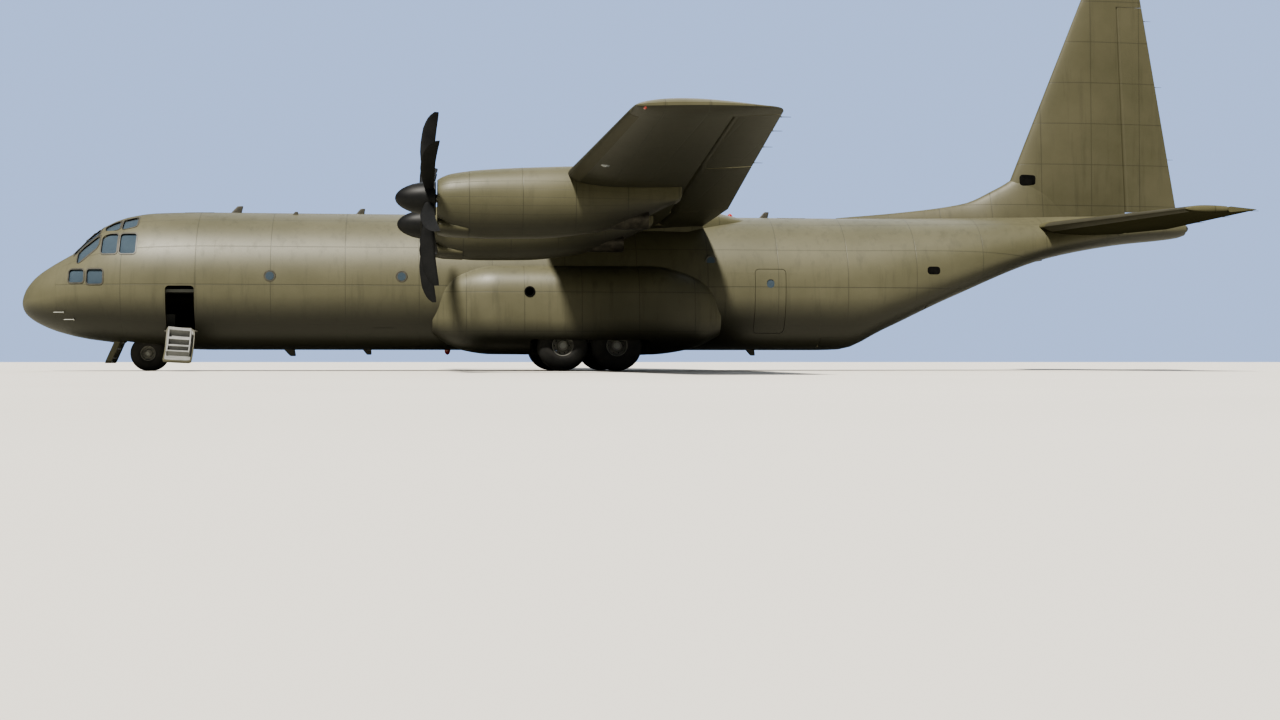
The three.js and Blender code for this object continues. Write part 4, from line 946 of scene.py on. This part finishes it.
# Fin and rudder: a tall swept fin on a long dorsal fillet; the rudder hangs on the fin's rear spar.
# Both are riveted sheet over ribs, with a small moulded cap on the top.
RUDDER = (4.8, 11.0)
FIN_SPAN = (4.3, 11.01)
FIN_THICK = 0.1
FIN_FOOT = 4.4
# Each pair: a station at the fin's foot, and how far it moves aft for each metre of height.
FIN_FRONT = (28.22, 0.404)
FIN_REAR = (34.05, -0.178)
RUDDER_POST = (32.45, -0.053)


def fin_at(z):
    front = FIN_FRONT[0] + FIN_FRONT[1] * (z - FIN_FOOT)
    chord = FIN_REAR[0] + FIN_REAR[1] * (z - FIN_FOOT) - front
    post_line = RUDDER_POST[0] + RUDDER_POST[1] * (z - RUDDER[0])
    return {"front": front, "chord": chord, "hinge": (post_line - front) / chord, "thick": FIN_THICK}


def fin_ring(z, outline):
    at = fin_at(z)
    return [(at["front"] + along * at["chord"], side * at["chord"], z) for along, side in outline]


def fixed_part(at, fat=1.0):
    return fixed_outline(at["thick"] * fat, 0, fixed_end(at, at["hinge"]))


fin_paint = airframe_paint("fin_paint", "fin", pitch=(0.78, 0.62), paint=(0.070, 0.066, 0.037, 1),
                           faded=(0.100, 0.093, 0.057, 1), streaks=0.3, shine=0.35)
fin = skin_over("fin_skin", [fin_ring(z, fixed_part(fin_at(z))) for z in FIN_SPAN])
finish_piece(fin, fin_paint, "fin")
# Each row of the cap: level, thickness, and where the chord stops.
cap = [fin_ring(z, fixed_outline(thickness, 0, end)) for z, thickness, end in (
    (FIN_SPAN[1], FIN_THICK, 1.0), (11.6, FIN_THICK, 1.0), (11.68, 0.096, 0.99), (11.74, 0.084, 0.97),
    (11.78, 0.066, 0.95), (11.8, 0.045, 0.92), (11.809, 0.02, 0.89))]
finish_piece(skin_over("fin_cap", cap), fin_paint)
# Each row of the fillet: station, half width and top.
DORSAL = [(23.4, 0.08, 4.53), (25.4, 0.14, 4.72), (27.3, 0.2, 5.0), (28.4, 0.26, 5.5), (29.4, 0.27, 6.0),
          (30.4, 0.19, 5.9), (31.6, 0.10, 5.4)]
DORSAL_FOOT = 4.3
rings = []
for x in evenly(DORSAL, 41):
    half, top = row_at(DORSAL, x)
    rings.append([(x, half * math.cos(a) * (1.6 - 0.6 * math.sin(a)), DORSAL_FOOT
                   + (top - DORSAL_FOOT) * math.sin(a)) for a in (math.pi * n / 16 for n in range(17))])
finish_piece(skin_over("dorsal_fillet", rings), fin_paint)
rudder = skin_over("rudder_skin", [
    fin_ring(z, moving_outline(FIN_THICK, 0, fin_at(z)["hinge"])) for z in RUDDER])
finish_piece(rudder, fin_paint, "rudder", body="rudder_body")
plates = [hinge_plate(fin_ring, fin_at, (z, z + BRACKET_WIDTH)) for z in (4.8, 6.8, 8.8, 10.86)]
finish_piece(joined("rudder_brackets", plates), seal)

# Tailplane: one box through the tail cone, with an elevator on each side hinged along its rear spar.
# Its skins are riveted sheet as the wing's are, with the same rubber strip along the leading edge.
TAIL_HALF = 8.02
TAIL_HEIGHT = 4.22
TAIL_THICK = 0.11
ELEVATOR_ROOT = 1.05
ELEVATOR_HINGE = 32.0
# Each pair: a station at the tailplane's root, and how far it moves aft from root to tip.
TAIL_FRONT = (28.95, 1.85)
TAIL_REAR = (33.3, -0.6)


def tail_at(y):
    share = abs(y) / TAIL_HALF
    front = TAIL_FRONT[0] + TAIL_FRONT[1] * share
    chord = TAIL_REAR[0] + TAIL_REAR[1] * share - front
    return {"front": front, "chord": chord, "hinge": (ELEVATOR_HINGE - front) / chord, "thick": TAIL_THICK}


def tail_ring(y, outline):
    at = tail_at(y)
    return [(at["front"] + along * at["chord"], y, TAIL_HEIGHT + up * at["chord"]) for along, up in outline]


tail_paint = airframe_paint("tailplane_paint", "wing", pitch=(0.45, 0.7), streaks=0.2, gloss=0.7,
                            under_shade=0.82, shine=0.0)
rings = [tail_ring(y, fixed_part(tail_at(y), fat)) for y, fat in (
    (-8.018, 0.4), (-8.0, 0.75), (-7.97, 1), (-4, 1), (0, 1), (4, 1), (7.97, 1), (8.0, 0.75), (8.018, 0.4))]
finish_piece(skin_over("tailplane_skin", rings), tail_paint, "stabilizer")
plates = []
for side, word in SIDES:
    made = skin_over(f"elevator_skin_{word}", [
        tail_ring(side * y, moving_outline(TAIL_THICK, 0, tail_at(y)["hinge"]))
        for y in (ELEVATOR_ROOT, TAIL_HALF - 0.002)])
    finish_piece(made, tail_paint, f"elevator_{word}", body=f"elevator_{word}_body")
    strip = [tail_ring(side * y, strip_outline(tail_at(y))) for y in (1.5, 4.5, 7.95)]
    finish_piece(skin_over(f"tailplane_edge_strip_{word}", strip), boot)
    for y in (ELEVATOR_ROOT, 3.4, 5.8, 7.84):
        plates.append(hinge_plate(tail_ring, tail_at, (side * y, side * (y + BRACKET_WIDTH))))
finish_piece(joined("elevator_brackets", plates), seal)

# Landing gear sponsons: bulged pods low on each side of the hold that house the tandem main wheels.
# They are sheet over frames, open below for the wheels, with a small engine's outlet in the left one.
SPONSON_ROOT = 1.0
SPONSON_SHEET = 0.05
OUTLET = (14.12, -2.43, 2.2)
# Each row: station, reach from the centre line, top and bottom.
SPONSON = [
    (11.45, 1.95, 2.35, 1.00),
    (12.1, 2.38, 2.80, 0.66),
    (13.2, 2.70, 3.02, 0.48),
    (17.6, 2.74, 3.02, 0.46),
    (18.8, 2.50, 2.78, 0.62),
    (19.6, 2.00, 2.35, 0.98),
]


def post(name, low, high, profile, count=28):
    start, stop = Vector(low), Vector(high)
    along = (stop - start).normalized()
    sideways = along.orthogonal().normalized()
    other = along.cross(sideways)
    rings = []
    for share, radius in profile:
        centre = start.lerp(stop, share)
        rings.append([tuple(centre + radius * (math.cos(a) * sideways + math.sin(a) * other))
                      for a in turns(count)])
    return skin_over(name, rings, smooth=30)


def sponson_ring(x, side, inset):
    outer, top, bottom = row_at(SPONSON, x)
    middle, half = (top + bottom) / 2, (top - bottom) / 2 - inset
    ring = []
    for k in range(29):
        a = math.radians(-90 + 180 * k / 28)
        c, s = abs(math.cos(a)) ** 0.55, math.copysign(abs(math.sin(a)) ** 0.62, math.sin(a))
        ring.append((x, side * (SPONSON_ROOT + (outer - inset - SPONSON_ROOT) * c), middle + half * s))
    return ring


# The sponsons take painted shade towards their bottom.
sponson_paint = airframe_paint("sponson_paint", "fin", pitch=(0.8, 0.55), streaks=0.45, belly_shade=(0.48, 0.80))
stations = evenly(SPONSON, 40)
for side, word in SIDES:
    pod = skin_over(f"sponson_skin_{word}", [sponson_ring(x, side, 0) for x in stations])
    carve(pod, skin_over("sponson_room", [
        sponson_ring(x, side, SPONSON_SHEET) for x in stations if 14.12 < x < 17.53]))
    low, high = sorted((side * 1.2, side * 2.6))
    carve(pod, rounded_block(14.15, 17.5, low, high, 0.2, 0.9, "z", 0.1))
    if side < 0:
        carve(pod, post("outlet_hole", (OUTLET[0], -3.0, OUTLET[2]), (OUTLET[0], -2.42, OUTLET[2]),
                        ((0, 0.12), (1, 0.12))))
    finish_piece(pod, sponson_paint, f"sponson_{word}")
cup = post("small_engine_outlet", OUTLET, (OUTLET[0], -2.725, OUTLET[2]), (
    (0, 0.119), (0.88, 0.119), (0.885, 0.15), (0.97, 0.15), (1, 0.14), (1, 0.11), (0.9, 0.105), (0.08, 0.1)))
finish_piece(cup, duct_dark)

# Main wheels and tyres: forged alloy wheels bolted from two halves, with ribbed high-pressure tyres.
# The tyres carry plain circumferential grooves; each wheel turns on its own stub axle.
MAIN_AXLES = (15.06, 16.58)
MAIN_TRACK = 2.2
MAIN_RADIUS = 0.71
# Each pair: share of the tyre's depth from the bead, and share of its half width.
TYRE = ((0.0, 0.80), (0.10, 0.92), (0.26, 0.99), (0.42, 1.0), (0.58, 0.985), (0.74, 0.93), (0.86, 0.84),
        (0.94, 0.72), (0.98, 0.60), (1.0, 0.50), (1.0, 0.46), (0.958, 0.445), (0.958, 0.40), (1.0, 0.385),
        (1.0, 0.17), (0.958, 0.155), (0.958, 0.11), (1.0, 0.095))
tyre_rubber = plain_finish("tyre_rubber", (0.018, 0.018, 0.017, 1), (0.04, 0.038, 0.034, 1), 9.0, 0.8, 0.0,
                           0.35)
gear_paint = plain_finish("gear_paint", (0.28, 0.285, 0.27, 1), (0.40, 0.40, 0.37, 1), 7.0, 0.42)
wheel_paint = plain_finish("wheel_paint", (0.17, 0.17, 0.155, 1), (0.27, 0.265, 0.24, 1), 12.0, 0.45, 0.2)


def turned(name, centre, half_profile):
    x, y, z = centre
    profile = half_profile + [(r, -along) for r, along in reversed(half_profile)]
    return hollow_skin(name, [[(x + r * math.cos(a), y + along, z + r * math.sin(a)) for r, along in profile]
                              for a in turns(64)], smooth=30)


def studs(centre, circle, reach, count, size):
    x, y, z = centre
    made = []
    for a in turns(count):
        p, q = x + circle * math.cos(a), z + circle * math.sin(a)
        hexagon = [(p + size * math.cos(b), q + size * math.sin(b)) for b in turns(6)]
        made.append(skin_over("stud", [[(p, end, q) for p, q in hexagon] for end in (y - reach, y + reach)],
                              smooth=20))
    return made


def wheel_set(centre, radius, bead, half, bore, count):
    tyre = turned("tyre", centre, [(bead + share * (radius - bead), width * half) for share, width in TYRE])
    disc = ((bore, 0.62), (bore + 0.16 * bead, 0.64), (bore + 0.2 * bead, 0.5), (bead * 0.6, 0.26),
            (bead * 0.8, 0.2), (bead * 0.87, 0.3), (bead * 0.9, 0.76), (bead * 0.94, 0.84),
            (bead - 0.002, 0.84))
    wheel = turned("wheel", centre, [(r, y * half) for r, y in disc])
    carve(wheel, joined("wheel_holes", studs(centre, bead * 0.7, half, count, bead * 0.075)), smooth=30)
    return tyre, joined("wheel", [wheel] + studs(centre, bead * 0.44, half * 0.5, count, bead * 0.04))


def fit_wheels(kind, centre, sizes, places):
    tyre, wheel = wheel_set(centre, *sizes)
    for word, x, y, body in places:
        shift = (x - centre[0], y - centre[1], 0)
        tyre_copy = copied(tyre, f"{kind}_tyre_ribbed_{word}", shift)
        finish_piece(tyre_copy, tyre_rubber, f"{kind}_tyre_{word}", body=body, slot="tyre")
        wheel_copy = copied(wheel, f"{kind}_wheel_forging_{word}", shift)
        finish_piece(wheel_copy, wheel_paint, f"{kind}_wheel_{word}", body=body, slot="gear")
    put_away(tyre, wheel)


fit_wheels("main", (MAIN_AXLES[0], -MAIN_TRACK, MAIN_RADIUS), (MAIN_RADIUS, 0.3, 0.25, 0.0875, 10), [
    (f"{word}_{place}", axle, side * MAIN_TRACK, f"main_wheel_{word}_{place}_body")
    for side, word in SIDES for axle, place in zip(MAIN_AXLES, ("front", "rear"))])
for word in ("left", "right"):
    painted(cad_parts[f"main_gear_{word}"], gear_paint)

# Nose gear: an oil strut and a drag brace on the keel, and a steered piston with torque links and two wheels.
# A flat ribbed door hangs open ahead of the wheels on two short arms.
NOSE_X = 3.5
NOSE_RADIUS = 0.495
NOSE_TRACK = 0.28
KEEL = 2.16
bright_metal = plain_finish("polished_piston", (0.62, 0.62, 0.60, 1), (0.72, 0.72, 0.70, 1), 20.0, 0.2, 1.0,
                            0.05)
fit_wheels("nose", (NOSE_X, -NOSE_TRACK, NOSE_RADIUS), (NOSE_RADIUS, 0.21, 0.165, 0.058, 8), [
    (word, NOSE_X, side * NOSE_TRACK, "nose_wheels_body") for side, word in SIDES])


def nose_post(name, low, high, profile, count=28):
    return post(name, (NOSE_X + low[0], *low[1:]), (NOSE_X + high[0], *high[1:]), profile, count)


def nose_block(x0, x1, half, z0, z1, along, radius):
    return rounded_block(NOSE_X + x0, NOSE_X + x1, -half, half, z0, z1, along, radius)


barrel = nose_post("nose_strut_barrel", (0, 0, 1.062), (0, 0, KEEL), (
    (0, 0.10), (0.01, 0.125), (0.05, 0.125), (0.06, 0.108), (0.3, 0.108), (0.31, 0.125), (0.36, 0.125),
    (0.37, 0.112), (1, 0.112)))
brace = nose_post("brace", (0, 0, 1.32), (-0.72, 0, KEEL - 0.04), (
    (0, 0.05), (0.08, 0.05), (0.1, 0.036), (0.9, 0.036), (0.92, 0.05), (1, 0.05)))
steering = [nose_post("jack", (-0.06, y, 1.22), (0.3, y, 1.22), (
    (0, 0.03), (0.5, 0.045), (0.52, 0.045), (1, 0.045))) for y in (-0.17, 0.17)]
collar = nose_block(-0.16, 0.16, 0.2, 1.16, 1.28, "z", 0.05)
strut = joined("nose_strut_with_brace", [barrel, brace, collar] + steering)
finish_piece(strut, gear_paint, "nose_gear_strut", slot="gear")
piston = nose_post("nose_piston", (0, 0, 0.5), (0, 0, 1.058), ((0, 0.07), (0.3, 0.07), (1, 0.07)))
finish_piece(piston, bright_metal, "nose_gear_fork", body="nose_steering_body", slot="gear")
fork = joined("nose_axle_and_links", [
    nose_post("axle", (0, -0.43, NOSE_RADIUS), (0, 0.43, NOSE_RADIUS), (
        (0, 0.045), (0.01, 0.054), (0.99, 0.054), (1, 0.045))),
    nose_block(-0.09, 0.09, 0.095, 0.42, 0.66, "y", 0.05),
    nose_post("tow_lug", (-0.2, 0, 0.5), (-0.05, 0, 0.52), ((0, 0.02), (0.2, 0.035), (1, 0.035)), 14),
    nose_block(0.06, 0.2, 0.05, 0.56, 0.62, "y", 0.02),
    nose_post("lower_link", (0.18, 0, 0.58), (0.26, 0, 0.8), ((0, 0.028), (1, 0.024)), 12),
    nose_post("upper_link", (0.26, 0, 0.8), (0.07, 0, 1.03), ((0, 0.024), (1, 0.028)), 12)])
finish_piece(fork, gear_paint, body="nose_steering_body", slot="gear")

DOOR_FOOT, DOOR_TOP = 0.22, 0.94
DOOR_FACE = (2.70, 2.735, 2.77)
DOOR_LEAN = (2.74 - 2.42) / (0.95 - 0.22)
RIB_HALF = 0.02
leaf = rounded_block(*DOOR_FACE[:2], -0.5, 0.5, DOOR_FOOT, DOOR_TOP, "x", 0.1)
ribs = [rounded_block(*DOOR_FACE[1:], y - RIB_HALF, y + RIB_HALF, 0.28, 0.88, "y", 0.01)
        for y in (-0.36, -0.12, 0.12, 0.36)]
ribs += [rounded_block(*DOOR_FACE[1:], -0.44, 0.44, z - RIB_HALF, z + RIB_HALF, "y", 0.01)
         for z in (0.36, 0.62, 0.84)]
arms = [rounded_block(2.72, 2.86, y - 0.025, y + 0.025, 0.8, 1.15, "y", 0.02) for y in (-0.3, 0.3)]
door = joined("nose_gear_door_leaf", [leaf] + ribs + arms)
top = half_size(0, 0, DOOR_TOP).z
door.data.transform(Matrix(((1, 0, DOOR_LEAN, -DOOR_LEAN * top), (0, 1, 0, 0), (0, 0, 1, 0), (0, 0, 0, 1))))
finish_piece(door, fitting_paint, "nose_gear_door")

BAY_X, BAY_HALF, BAY_TOP, BAY_WALL = (2.745, 4.255), 0.735, 1.6, 0.025
front, rear = BAY_X
well_roof = skin_over("nose_wheel_bay", [
    [(front, -BAY_HALF, z), (rear, -BAY_HALF, z), (rear, BAY_HALF, z), (front, BAY_HALF, z)]
    for z in (BAY_TOP - 0.02, BAY_TOP)], smooth=1)
walls = [rounded_block(*wall, 0.9, BAY_TOP, "z", 0.004) for wall in (
    (front - BAY_WALL, front, -0.74, 0.74), (rear, rear + BAY_WALL, -0.74, 0.74),
    (front, rear, -BAY_HALF - BAY_WALL, -BAY_HALF), (front, rear, BAY_HALF, BAY_HALF + BAY_WALL))]
finish_piece(joined("nose_wheel_bay_box", [well_roof] + walls), inner_paint, slot="interior")

# Aerials, probes and lamps: small bonded and screwed fittings on the outside of the skin.
# Blade aerials are moulded plastic; probes are steel tubes; each lamp has a clear or coloured glass dome.
LAMP_RIBS = 160.0
TAXI_LAMP = 1.42
TAXI_LAMP_Y = 0.2
# Each pair: share of a dome's height, and share of its radius.
DOME = ((0, 1.0), (0.35, 1.0), (0.6, 0.9), (0.8, 0.68), (0.93, 0.4), (1, 0.1))


def hull_side(x, z, side, lift):
    width, top, middle, bottom, square = row_at(HULL, x)
    if z >= middle:
        share = math.sqrt(max(0.0, 1 - ((z - middle) / (top - middle)) ** 2))
    else:
        share = max(0.0, 1 - ((middle - z) / (middle - bottom)) ** square) ** (1 / square)
    return (x, side * (width * share + lift), z)


def lamp_glass(name, colour):
    material, tree, shader, place = new_material(name)
    along = shader_node(tree, "ShaderNodeSeparateXYZ", {"Vector": place}).outputs["X"]
    ribs = maths(tree, "FRACT", times(tree, along, LAMP_RIBS))
    paler = tuple(1.35 * value for value in colour[:3]) + (1,)
    connect(tree, shader, {
        "Base Color": blend_colour(tree, ribs, colour, paler),
        "Roughness": between(tree, ribs, 0.0, 1.0, 0.08, 0.16), "Coat Weight": 0.5})
    return material


def aerial(x, y, z, height, chord, sweep):
    outline = [(0.5 * math.cos(a), 0.07 * math.sin(a) * (1 - 0.4 * math.cos(a))) for a in turns(16)]
    rings = []
    for share, size in ((-0.25, 1.06), (0.0, 1.0), (0.6, 0.74), (0.9, 0.58), (0.98, 0.48), (1.0, 0.3)):
        rings.append([(x + share * sweep + size * chord * along, y + size * chord * side, z + share * height)
                      for along, side in outline])
    return skin_over("aerial", rings, smooth=40)


def dome(foot, tip, radius):
    return post("dome", foot, tip, [(share, size * radius) for share, size in DOME], 24)


red_lamp = lamp_glass("red_lamp_glass", (0.30, 0.02, 0.015, 1))
green_lamp = lamp_glass("green_lamp_glass", (0.015, 0.20, 0.07, 1))
clear_lamp = lamp_glass("clear_lamp_glass", (0.14, 0.15, 0.16, 1))
aerials = [aerial(x, y, skin_height(x, y), high, chord, sweep) for x, y, high, chord, sweep in (
    (5.9, 0.0, 0.20, 0.30, 0.12), (9.4, 0.0, 0.16, 0.24, 0.08), (12.0, 0.0, 0.20, 0.30, 0.12),
    (21.2, 0.0, 0.18, 0.26, 0.10), (7.6, 0.55, 0.08, 0.16, 0.03), (7.6, -0.55, 0.08, 0.16, 0.03))]
aerials += [aerial(x, 0.0, 0.6, -high, chord, sweep) for x, high, chord, sweep in (
    (7.4, 0.18, 0.30, 0.10), (9.6, 0.14, 0.24, 0.06), (20.8, 0.16, 0.26, 0.08))]
finish_piece(joined("blade_aerials", aerials), seal)

probes = []
wipers = []
for side in (-1, 1):
    for x, z in ((1.34, 1.62), (1.62, 1.42)):
        foot = hull_side(x, z, side, -0.03)
        bend = (x - 0.02, foot[1] + side * 0.12, z)
        probes.append(post("probe_foot", foot, bend, ((0, 0.026), (0.5, 0.018), (1, 0.012)), 12))
        probes.append(post("probe_tube", (x + 0.02, bend[1], z), (x - 0.26, bend[1], z), (
            (0, 0.006), (0.05, 0.012), (0.9, 0.012), (0.98, 0.008), (1, 0.005)), 12))
    for name, low, high, profile, count in (
            ("arm", (1.50, 0.60, 0.005), (2.06, 0.46, 0.03), ((0, 0.022), (0.1, 0.016), (1, 0.010)), 10),
            ("blade", (1.80, 0.40, 0.02), (2.22, 0.56, 0.02),
             ((0, 0.008), (0.05, 0.012), (0.95, 0.012), (1, 0.008)), 8)):
        low, high = ((x, side * y, skin_height(x, y) + lift) for x, y, lift in (low, high))
        wipers.append(post(f"wiper_{name}", low, high, profile, count))
finish_piece(joined("air_data_probes", probes), gear_paint)
finish_piece(joined("windscreen_wipers", wipers), seal)

beacons = [dome((20.2, 0, 4.46), (20.2, 0, 4.63), 0.085), dome((11.9, 0, 0.64), (11.9, 0, 0.46), 0.085)]
finish_piece(joined("beacon_lamps", beacons), red_lamp, slot="glass")
for side, word, glass in ((-1, "left", red_lamp), (1, "right", green_lamp)):
    x, _, z = wing_ring(side * 20.06, [(0.07, 0.004)])[0]
    lamp = dome((x, side * 20.02, z), (x, side * 20.192, z), 0.07)
    finish_piece(joined(f"wing_tip_lamp_{word}", [lamp]), glass, slot="glass")
LAMP_CHORD = 0.12
white_lamps = []
for y in (-13.6, -7.4, 7.4, 13.6):
    up = camber_rise(LAMP_CHORD, CAMBER) - half_thickness(LAMP_CHORD, wing_at(y)["thick"])
    x, _, z = wing_ring(y, [(LAMP_CHORD, up)])[0]
    white_lamps.append(dome((x, y, z + 0.05), (x, y, z - 0.035), 0.12))
lamp_cans = []
for y in (-TAXI_LAMP_Y, TAXI_LAMP_Y):
    white_lamps.append(dome((NOSE_X - 0.1, y, TAXI_LAMP), (NOSE_X - 0.22, y, TAXI_LAMP - 0.01), 0.07))
    lamp_cans.append(nose_post("lamp_can", (-0.02, y * 0.6, TAXI_LAMP), (-0.14, y, TAXI_LAMP), (
        (0, 0.04), (0.5, 0.074), (1, 0.08)), 24))
finish_piece(joined("landing_and_taxi_lamps", white_lamps), clear_lamp, slot="glass")
finish_piece(joined("taxi_lamp_housings", lamp_cans), gear_paint, slot="gear")

# Hatches, small windows and doors in the skin: doubler plates riveted on, and round panes in dark rims.
# Escape hatches lie in the roof; the ducts on the tail's sides and at the fin's foot show as dark patches,
# flat and painted near-black as painted shade of openings.
# Each row: a side plate's two ends along and upwards, its corner, and the sides that have it.
DOUBLERS = ((19.72, 20.4, 1.2, 2.8, 0.08, (-1, 1)), (6.3, 6.66, 1.3, 1.62, 0.05, (-1, 1)),
            (9.8, 10.4, 0.95, 1.2, 0.05, (-1, 1)), (7.5, 8.2, 2.1, 3.1, 0.1, (1,)))
PORTHOLES = [(x, z, side) for x, z in ((7.0, 2.62), (10.6, 2.62), (19.3, 3.12)) for side in (-1, 1)]
PORTHOLE_RIM = (-0.03, 0.016), ((0, 0.165), (0.7, 0.165), (1, 0.155))
PORTHOLE_PANE = (-0.02, 0.02), ((0, 0.115), (0.8, 0.12), (1, 0.11))


def skin_patch(x0, x1, block, outside=0.006, inside=-0.012):
    return cut_from_hull("skin_patch", x0 - 0.1, x1 + 0.1, outside, inside, block)


def porthole_parts(name, part):
    lifts, profile = part
    return joined(name, [post("porthole", *(hull_side(x, z, side, lift) for lift in lifts), profile, 36)
                         for x, z, side in PORTHOLES])


patches = [skin_patch(x, x + 0.8, rounded_block(x, x + 0.8, -0.4, 0.4, 4.2, 4.8, "z", 0.12))
           for x in (4.5, 12.55, 21.6)]
patches += [skin_patch(x0, x1, side_block(side, x0, x1, z0, z1, corner))
            for x0, x1, z0, z1, corner, sides in DOUBLERS for side in sides]
finish_piece(joined("hatches_and_doublers", patches), hull_paint)
finish_piece(porthole_parts("porthole_rims", PORTHOLE_RIM), seal)
finish_piece(porthole_parts("porthole_panes", PORTHOLE_PANE), glass_tint_and_reflection, slot="glass")

ducts = [skin_patch(25.62, 26.0, side_block(side, 25.62, 26.0, 2.78, 3.0, 0.09), 0.005, -0.01)
         for side in (-1, 1)]
fin_duct = rounded_block(29.0, 29.5, -0.25, 0.25, 5.54, 5.88, "y", 0.1)
fin_limit = [fin_ring(z, fixed_outline(FIN_THICK, 0, 0.5, 0.012 / fin_at(z)["chord"])) for z in (5.4, 6.0)]
carve(fin_duct, skin_over("fin_root_limit", fin_limit), "INTERSECT")
finish_piece(joined("duct_openings_painted_shade", ducts + [fin_duct]), duct_dark)

# Static wicks: thin carbon rods that let the aeroplane's static charge off into the air.
# They are clamped behind the trailing edges of the ailerons, elevators and rudder.
WICK = ((0, 0.012), (0.3, 0.012), (0.32, 0.007), (1, 0.004))
WICK_FOOT = [(0.985, 0.0)]
WICK_LENGTH = 0.26


def wick_set(name, ring_of, places, body):
    rods = []
    for place in places:
        x, y, z = ring_of(place, WICK_FOOT)[0]
        rods.append(post("wick", (x, y, z), (x + WICK_LENGTH, y, z), WICK, 6))
    finish_piece(joined(name, rods), seal, body=body)


for side, word in SIDES:
    wick_set(f"aileron_wicks_{word}", wing_ring, [side * y for y in (13.4, 15.6, 17.6, 19.2)],
             f"aileron_{word}_body")
    wick_set(f"elevator_wicks_{word}", tail_ring, [side * y for y in (3.6, 5.6, 7.6)],
             f"elevator_{word}_body")
wick_set("rudder_wicks", fin_ring, (6.4, 8.6, 10.6), "rudder_body")
